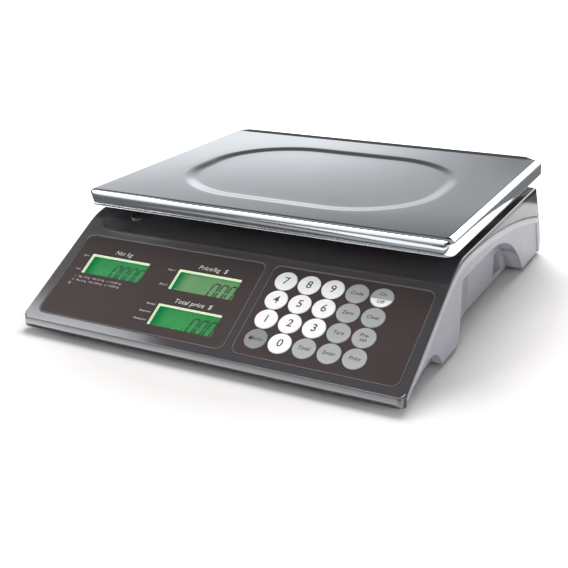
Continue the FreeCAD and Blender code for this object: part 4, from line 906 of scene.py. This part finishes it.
level_x, level_y = LEVEL_PLACE
bubble = lathe([(0.3, 70.15), (1.2, 70.25), (2.0, 70.6), (2.3, 71.0), (2.0, 71.4), (1.2, 71.7),
                (0.3, 71.8)], (level_x + 0.6, level_y + 0.4), 40)
bubble = add_mesh("level_bubble", *bubble, clear_material("bubble_air", (0.97, 1.0, 0.9)),
                  "housing")
rings = [[(x * MM, y * MM, z * MM) for x, y in round_outline(
    level_x - r, level_x + r, level_y - r, level_y + r, r - 0.01, 10)]
    for r, z in ((3.0, 72.55), (3.0, 72.59), (3.25, 72.59), (3.25, 72.55), (3.0, 72.55))]
circle = add_mesh("level_circle", *ring_mesh(rings, False), BLACK_INK, "housing")

# ---------------------------------------------------------------- stage

STAGE_WHITE = (1, 1, 1, 1)
FLOOR_TONE, FLOOR_WHITENESS = (0.66, 0.646, 0.638, 1), 0.85
FLOOR_FADE = (0.22, 0.45)       # metres from the middle, from shaded floor to plain white
CARD_TONE = (0.94, 0.97, 1.0, 1)
SKY_TONE, SKY_STRENGTH = (0.97, 0.985, 1.0, 1), 0.38
DOME_RADIUS, DOME_STEP = 5.0, 2
CARDS_HIDDEN_FROM = ("camera", "diffuse", "shadow", "transmission", "volume_scatter")


def bare_tree(owner):
    """The emptied node tree of a material or a world."""
    owner.use_nodes = True
    owner.node_tree.nodes.clear()
    return owner.node_tree


def floor_material():
    """Pale floor: shaded by the lights near the object, running out to plain white."""
    material = bpy.data.materials.new("studio_floor")
    tree = bare_tree(material)
    path = add_node(tree, "ShaderNodeLightPath").outputs
    place = add_node(tree, "ShaderNodeTexCoord").outputs["Object"]
    away = add_node(tree, "ShaderNodeVectorMath", {0: place}, operation="LENGTH").outputs["Value"]
    fade = add_node(tree, "ShaderNodeMapRange", {
        "Value": away, "From Min": FLOOR_FADE[0], "From Max": FLOOR_FADE[1], "To Min": 0.0,
        "To Max": FLOOR_WHITENESS}).outputs["Result"]
    seen = math_node(tree, "MAXIMUM", path["Is Camera Ray"], path["Is Glossy Ray"])
    glow = add_node(tree, "ShaderNodeEmission", {
        "Color": STAGE_WHITE, "Strength": math_node(tree, "MULTIPLY", seen, fade)})
    diffuse = add_node(tree, "ShaderNodeBsdfDiffuse", {"Color": FLOOR_TONE})
    both = add_node(tree, "ShaderNodeAddShader", {0: diffuse.outputs[0], 1: glow.outputs[0]})
    add_node(tree, "ShaderNodeOutputMaterial", {"Surface": both.outputs[0]})
    return material


def stage_mesh(name, vertices, faces, material):
    mesh = bpy.data.meshes.new(name)
    mesh.from_pydata([Vector(v) for v in vertices], [], faces)
    mesh.materials.append(material)
    plane = bpy.data.objects.new(name, mesh)
    COLLECTION.objects.link(plane)
    return plane


stage_mesh("floor", [(-9, -9, 0), (9, -9, 0), (9, 9, 0), (-9, 9, 0)], [(0, 1, 2, 3)],
           floor_material())


def soft(value, low, high, blur):
    """1 inside low…high, falling to 0 over the blur on each side."""
    return smooth_step((value - low) / blur + 0.5) * smooth_step((high - value) / blur + 0.5)


def mixed(stops, value):
    """Straight lines through (value, level) stops."""
    if value <= stops[0][0]:
        return stops[0][1]
    for (v0, l0), (v1, l1) in zip(stops, stops[1:]):
        if value <= v1:
            return l0 + (l1 - l0) * (value - v0) / (v1 - v0)
    return stops[-1][1]


def studio_level(azimuth, elevation):
    """Brightness of the studio's cards by direction; azimuth from +Y towards -X, in degrees."""
    az = azimuth if azimuth < 200 else azimuth - 360
    # card and flags behind the scale, which its steel top mirrors
    glow = mixed(((11, 0.62), (13.2, 0.62), (14.3, 0.52), (15.3, 0.24), (16.3, 0.08), (17.5, 0)),
                 elevation)
    across = mixed(((12, -0.35), (15, -0.1), (18, 0.3), (22, 0.75), (26, 1.0)), az)
    rear = 0.42 + glow * across
    if elevation < 12.3:
        rear = mixed(((0, 0.38), (9, 0.40), (12.3, 0.42)), elevation)
        rear += mixed(((0, 0.30), (9, 0.42), (12.3, glow)), elevation) * max(0.1, across)
    elif elevation > 17.8:
        rear = mixed(((17.8, 0.42), (20.5, 0.13), (24, 0.09), (60, 0.09), (90, 0.05)), elevation)
    # white card to the right of it, mirrored by the right-hand edge
    right = 5.0 * soft(elevation, 5, 34, 4)
    level = rear + (right - rear) * soft(az, -40, 7.5, 3)
    level += (0.06 - level) * soft(az, -160, -98, 6)
    level += (0.35 - level) * soft(az, -98, -40, 6)
    level += (0.10 - level) * soft(az, 62, 200, 6)
    # strip light low in front, mirrored as the white line on the lip's edge
    level += (0.85 - level) * soft(az, 142, 200, 8) * soft(elevation, 5, 28, 6)
    return max(0.0, level)


def card_material():
    """Light from a card, as strong as its level attribute says."""
    material = bpy.data.materials.new("studio_cards")
    tree = bare_tree(material)
    level = add_node(tree, "ShaderNodeAttribute", attribute_name="level").outputs["Fac"]
    glow = add_node(tree, "ShaderNodeEmission", {"Color": CARD_TONE, "Strength": level})
    add_node(tree, "ShaderNodeOutputMaterial", {"Surface": glow.outputs[0]})
    return material


CARDS = card_material()


def card_mesh(name, vertices, faces, levels):
    """A glowing mesh with a brightness at each corner, seen only in reflections."""
    card = stage_mesh(name, vertices, faces, CARDS)
    card.data.attributes.new("level", "FLOAT", "POINT").data.foreach_set("value", levels)
    for kind in CARDS_HIDDEN_FROM:
        setattr(card, f"visible_{kind}", False)


def studio_dome():
    """Shell round the studio that carries the cards."""
    elevations = [float(e) for e in range(0, 91, DOME_STEP)]
    vertices, levels, faces = [], [], []
    count = 360 // DOME_STEP
    for elevation in elevations:
        e = math.radians(min(89.9, elevation))
        for i in range(count):
            a = math.radians(i * DOME_STEP)
            vertices.append((-DOME_RADIUS * math.sin(a) * math.cos(e),
                             DOME_RADIUS * math.cos(a) * math.cos(e),
                             DOME_RADIUS * math.sin(e) + 0.01))
            levels.append(studio_level(i * DOME_STEP, elevation))
    for r in range(len(elevations) - 1):
        for i in range(count):
            j = (i + 1) % count
            faces.append((r * count + i, r * count + j, (r + 1) * count + j, (r + 1) * count + i))
    card_mesh("studio_dome", vertices, faces, levels)


def overhead_level(x, y):
    """Brightness of the low overhead card: a bright softbox at the left and along its front."""
    level = 0.32
    left = mixed(((-0.168, 9.0), (-0.155, 7.0), (-0.145, 2.0), (-0.12, 0.9), (0.0, 0.7)), y)
    level += (left - level) * soft(x, -1.2, -0.37, 0.06) * soft(y, -0.30, 0.2, 0.04)
    level += (1.15 - level) * soft(y, -1.4, -0.285, 0.03)
    level += (16.0 - level) * soft(y, -0.43, -0.285, 0.03) * soft(x, -0.75, 0.5, 0.06)
    return level


def lip_level(x, y):
    """Brightness of the card in front of the lip, strongest at the left corner and near the lip."""
    return mixed(((-0.25, 6.0), (-0.20, 3.2), (-0.10, 2.5), (0.3, 2.3)), x) * mixed(
        ((-0.202, 1.0), (-0.192, 2.1)), y)


def front_level(x, y):
    """Brightness of the floor cards in front, mirrored as lines along the tray's skirt."""
    t = min(1.0, max(0.0, (x + 0.28) / 0.26))
    if y < -1.0 + 0.34 * t:
        level = 0.35 - 0.30 * t
    elif y < -0.70 + 0.25 * t:
        level = 1.2
    elif y < -0.58 + 0.16 * t:
        level = 0.06
    elif y < -0.45 + 0.09 * t:
        level = 0.42
    else:
        level = 0.11 - 0.04 * t
    return level + (0.15 - level) * smooth_step((-0.27 - x) / 0.16)


def graded_card(name, x0, x1, y0, y1, z, level_at, steps=1):
    """A horizontal card whose brightness varies over it."""
    vertices, levels, faces = [], [], []
    for i in range(steps + 1):
        for j in range(steps + 1):
            x, y = x0 + (x1 - x0) * i / steps, y0 + (y1 - y0) * j / steps
            vertices.append((x, y, z))
            levels.append(level_at(x, y))
    for i in range(steps):
        for j in range(steps):
            a = i * (steps + 1) + j
            faces.append((a, a + 1, a + steps + 2, a + steps + 1))
    card_mesh(name, vertices, faces, levels)


studio_dome()
graded_card("overhead_card", -1.3, 0.45, -1.3, 0.10, 0.50, overhead_level, 90)
graded_card("lip_card", -0.60, 0.40, -0.30, -0.1855, 0.002, lip_level, 60)
graded_card("front_flag", -2.2, 1.2, -1.4, -0.302, 0.002, front_level, 200)
graded_card("front_card", -4.0, 2.0, -4.6, -1.4, 0.003, lambda x, y: 0.30)
graded_card("right_flag", 0.05, 1.4, 0.345, 1.6, 0.003, lambda x, y: 0.22)

world = bpy.data.worlds.new("studio")
bpy.context.scene.world = world
tree = bare_tree(world)
path = add_node(tree, "ShaderNodeLightPath").outputs
seen = math_node(tree, "MAXIMUM", path["Is Camera Ray"], path["Is Glossy Ray"])
seen = math_node(tree, "MAXIMUM", seen, path["Is Transmission Ray"])
light = add_node(tree, "ShaderNodeBackground", {"Color": SKY_TONE, "Strength": SKY_STRENGTH})
white = add_node(tree, "ShaderNodeBackground", {"Color": STAGE_WHITE, "Strength": 1.0})
mix = add_node(tree, "ShaderNodeMixShader", {0: seen, 1: light.outputs[0], 2: white.outputs[0]})
add_node(tree, "ShaderNodeOutputWorld", {"Surface": mix.outputs[0]})


def softbox(name, place, aim, size, power):
    """A rectangular lamp that no surface mirrors."""
    lamp = bpy.data.lights.new(name, "AREA")
    lamp.shape = "RECTANGLE"
    lamp.size, lamp.size_y = size
    lamp.energy = power
    piece = bpy.data.objects.new(name, lamp)
    COLLECTION.objects.link(piece)
    piece.location = place
    piece.rotation_euler = (Vector(aim) - Vector(place)).to_track_quat("-Z", "Y").to_euler()
    piece.visible_glossy = False


softbox("overhead_light", (-0.3, 1.1, 1.75), (0, 0, 0.05), (1.6, 1.0), 62.0)
softbox("fill_light", (1.6, -1.5, 1.0), (0, 0, 0.05), (1.2, 1.0), 9.0)
softbox("front_light", (-0.3, -2.6, 0.42), (0, 0, 0.06), (2.2, 0.6), 15.0)

# ---------------------------------------------------------------- camera

CAMERA_PLACE = (0.37381, -0.74292, 0.32667)
YAW, PITCH, ROLL = math.radians(27.98), math.radians(-21.239), math.radians(-0.918)
SENSOR_WIDTH, FOCAL_LENGTH = 36.0, 62.51

ahead = Vector((-math.sin(YAW) * math.cos(PITCH), math.cos(YAW) * math.cos(PITCH), math.sin(PITCH)))
level = Vector((math.cos(YAW), math.sin(YAW), 0))
above = level.cross(ahead)
right = math.cos(ROLL) * level + math.sin(ROLL) * above
up = -math.sin(ROLL) * level + math.cos(ROLL) * above
lens = bpy.data.cameras.new("camera")
lens.sensor_width = SENSOR_WIDTH
lens.lens = FOCAL_LENGTH
lens.clip_start = 0.01
lens.clip_end = 40.0
camera = bpy.data.objects.new("camera", lens)
COLLECTION.objects.link(camera)
camera.matrix_world = Matrix.Translation(CAMERA_PLACE) @ Matrix(
    (right, up, -ahead)).transposed().to_4x4()
bpy.context.scene.camera = camera
bpy.context.scene.view_settings.view_transform = "Standard"

bpy.context.view_layer.update()
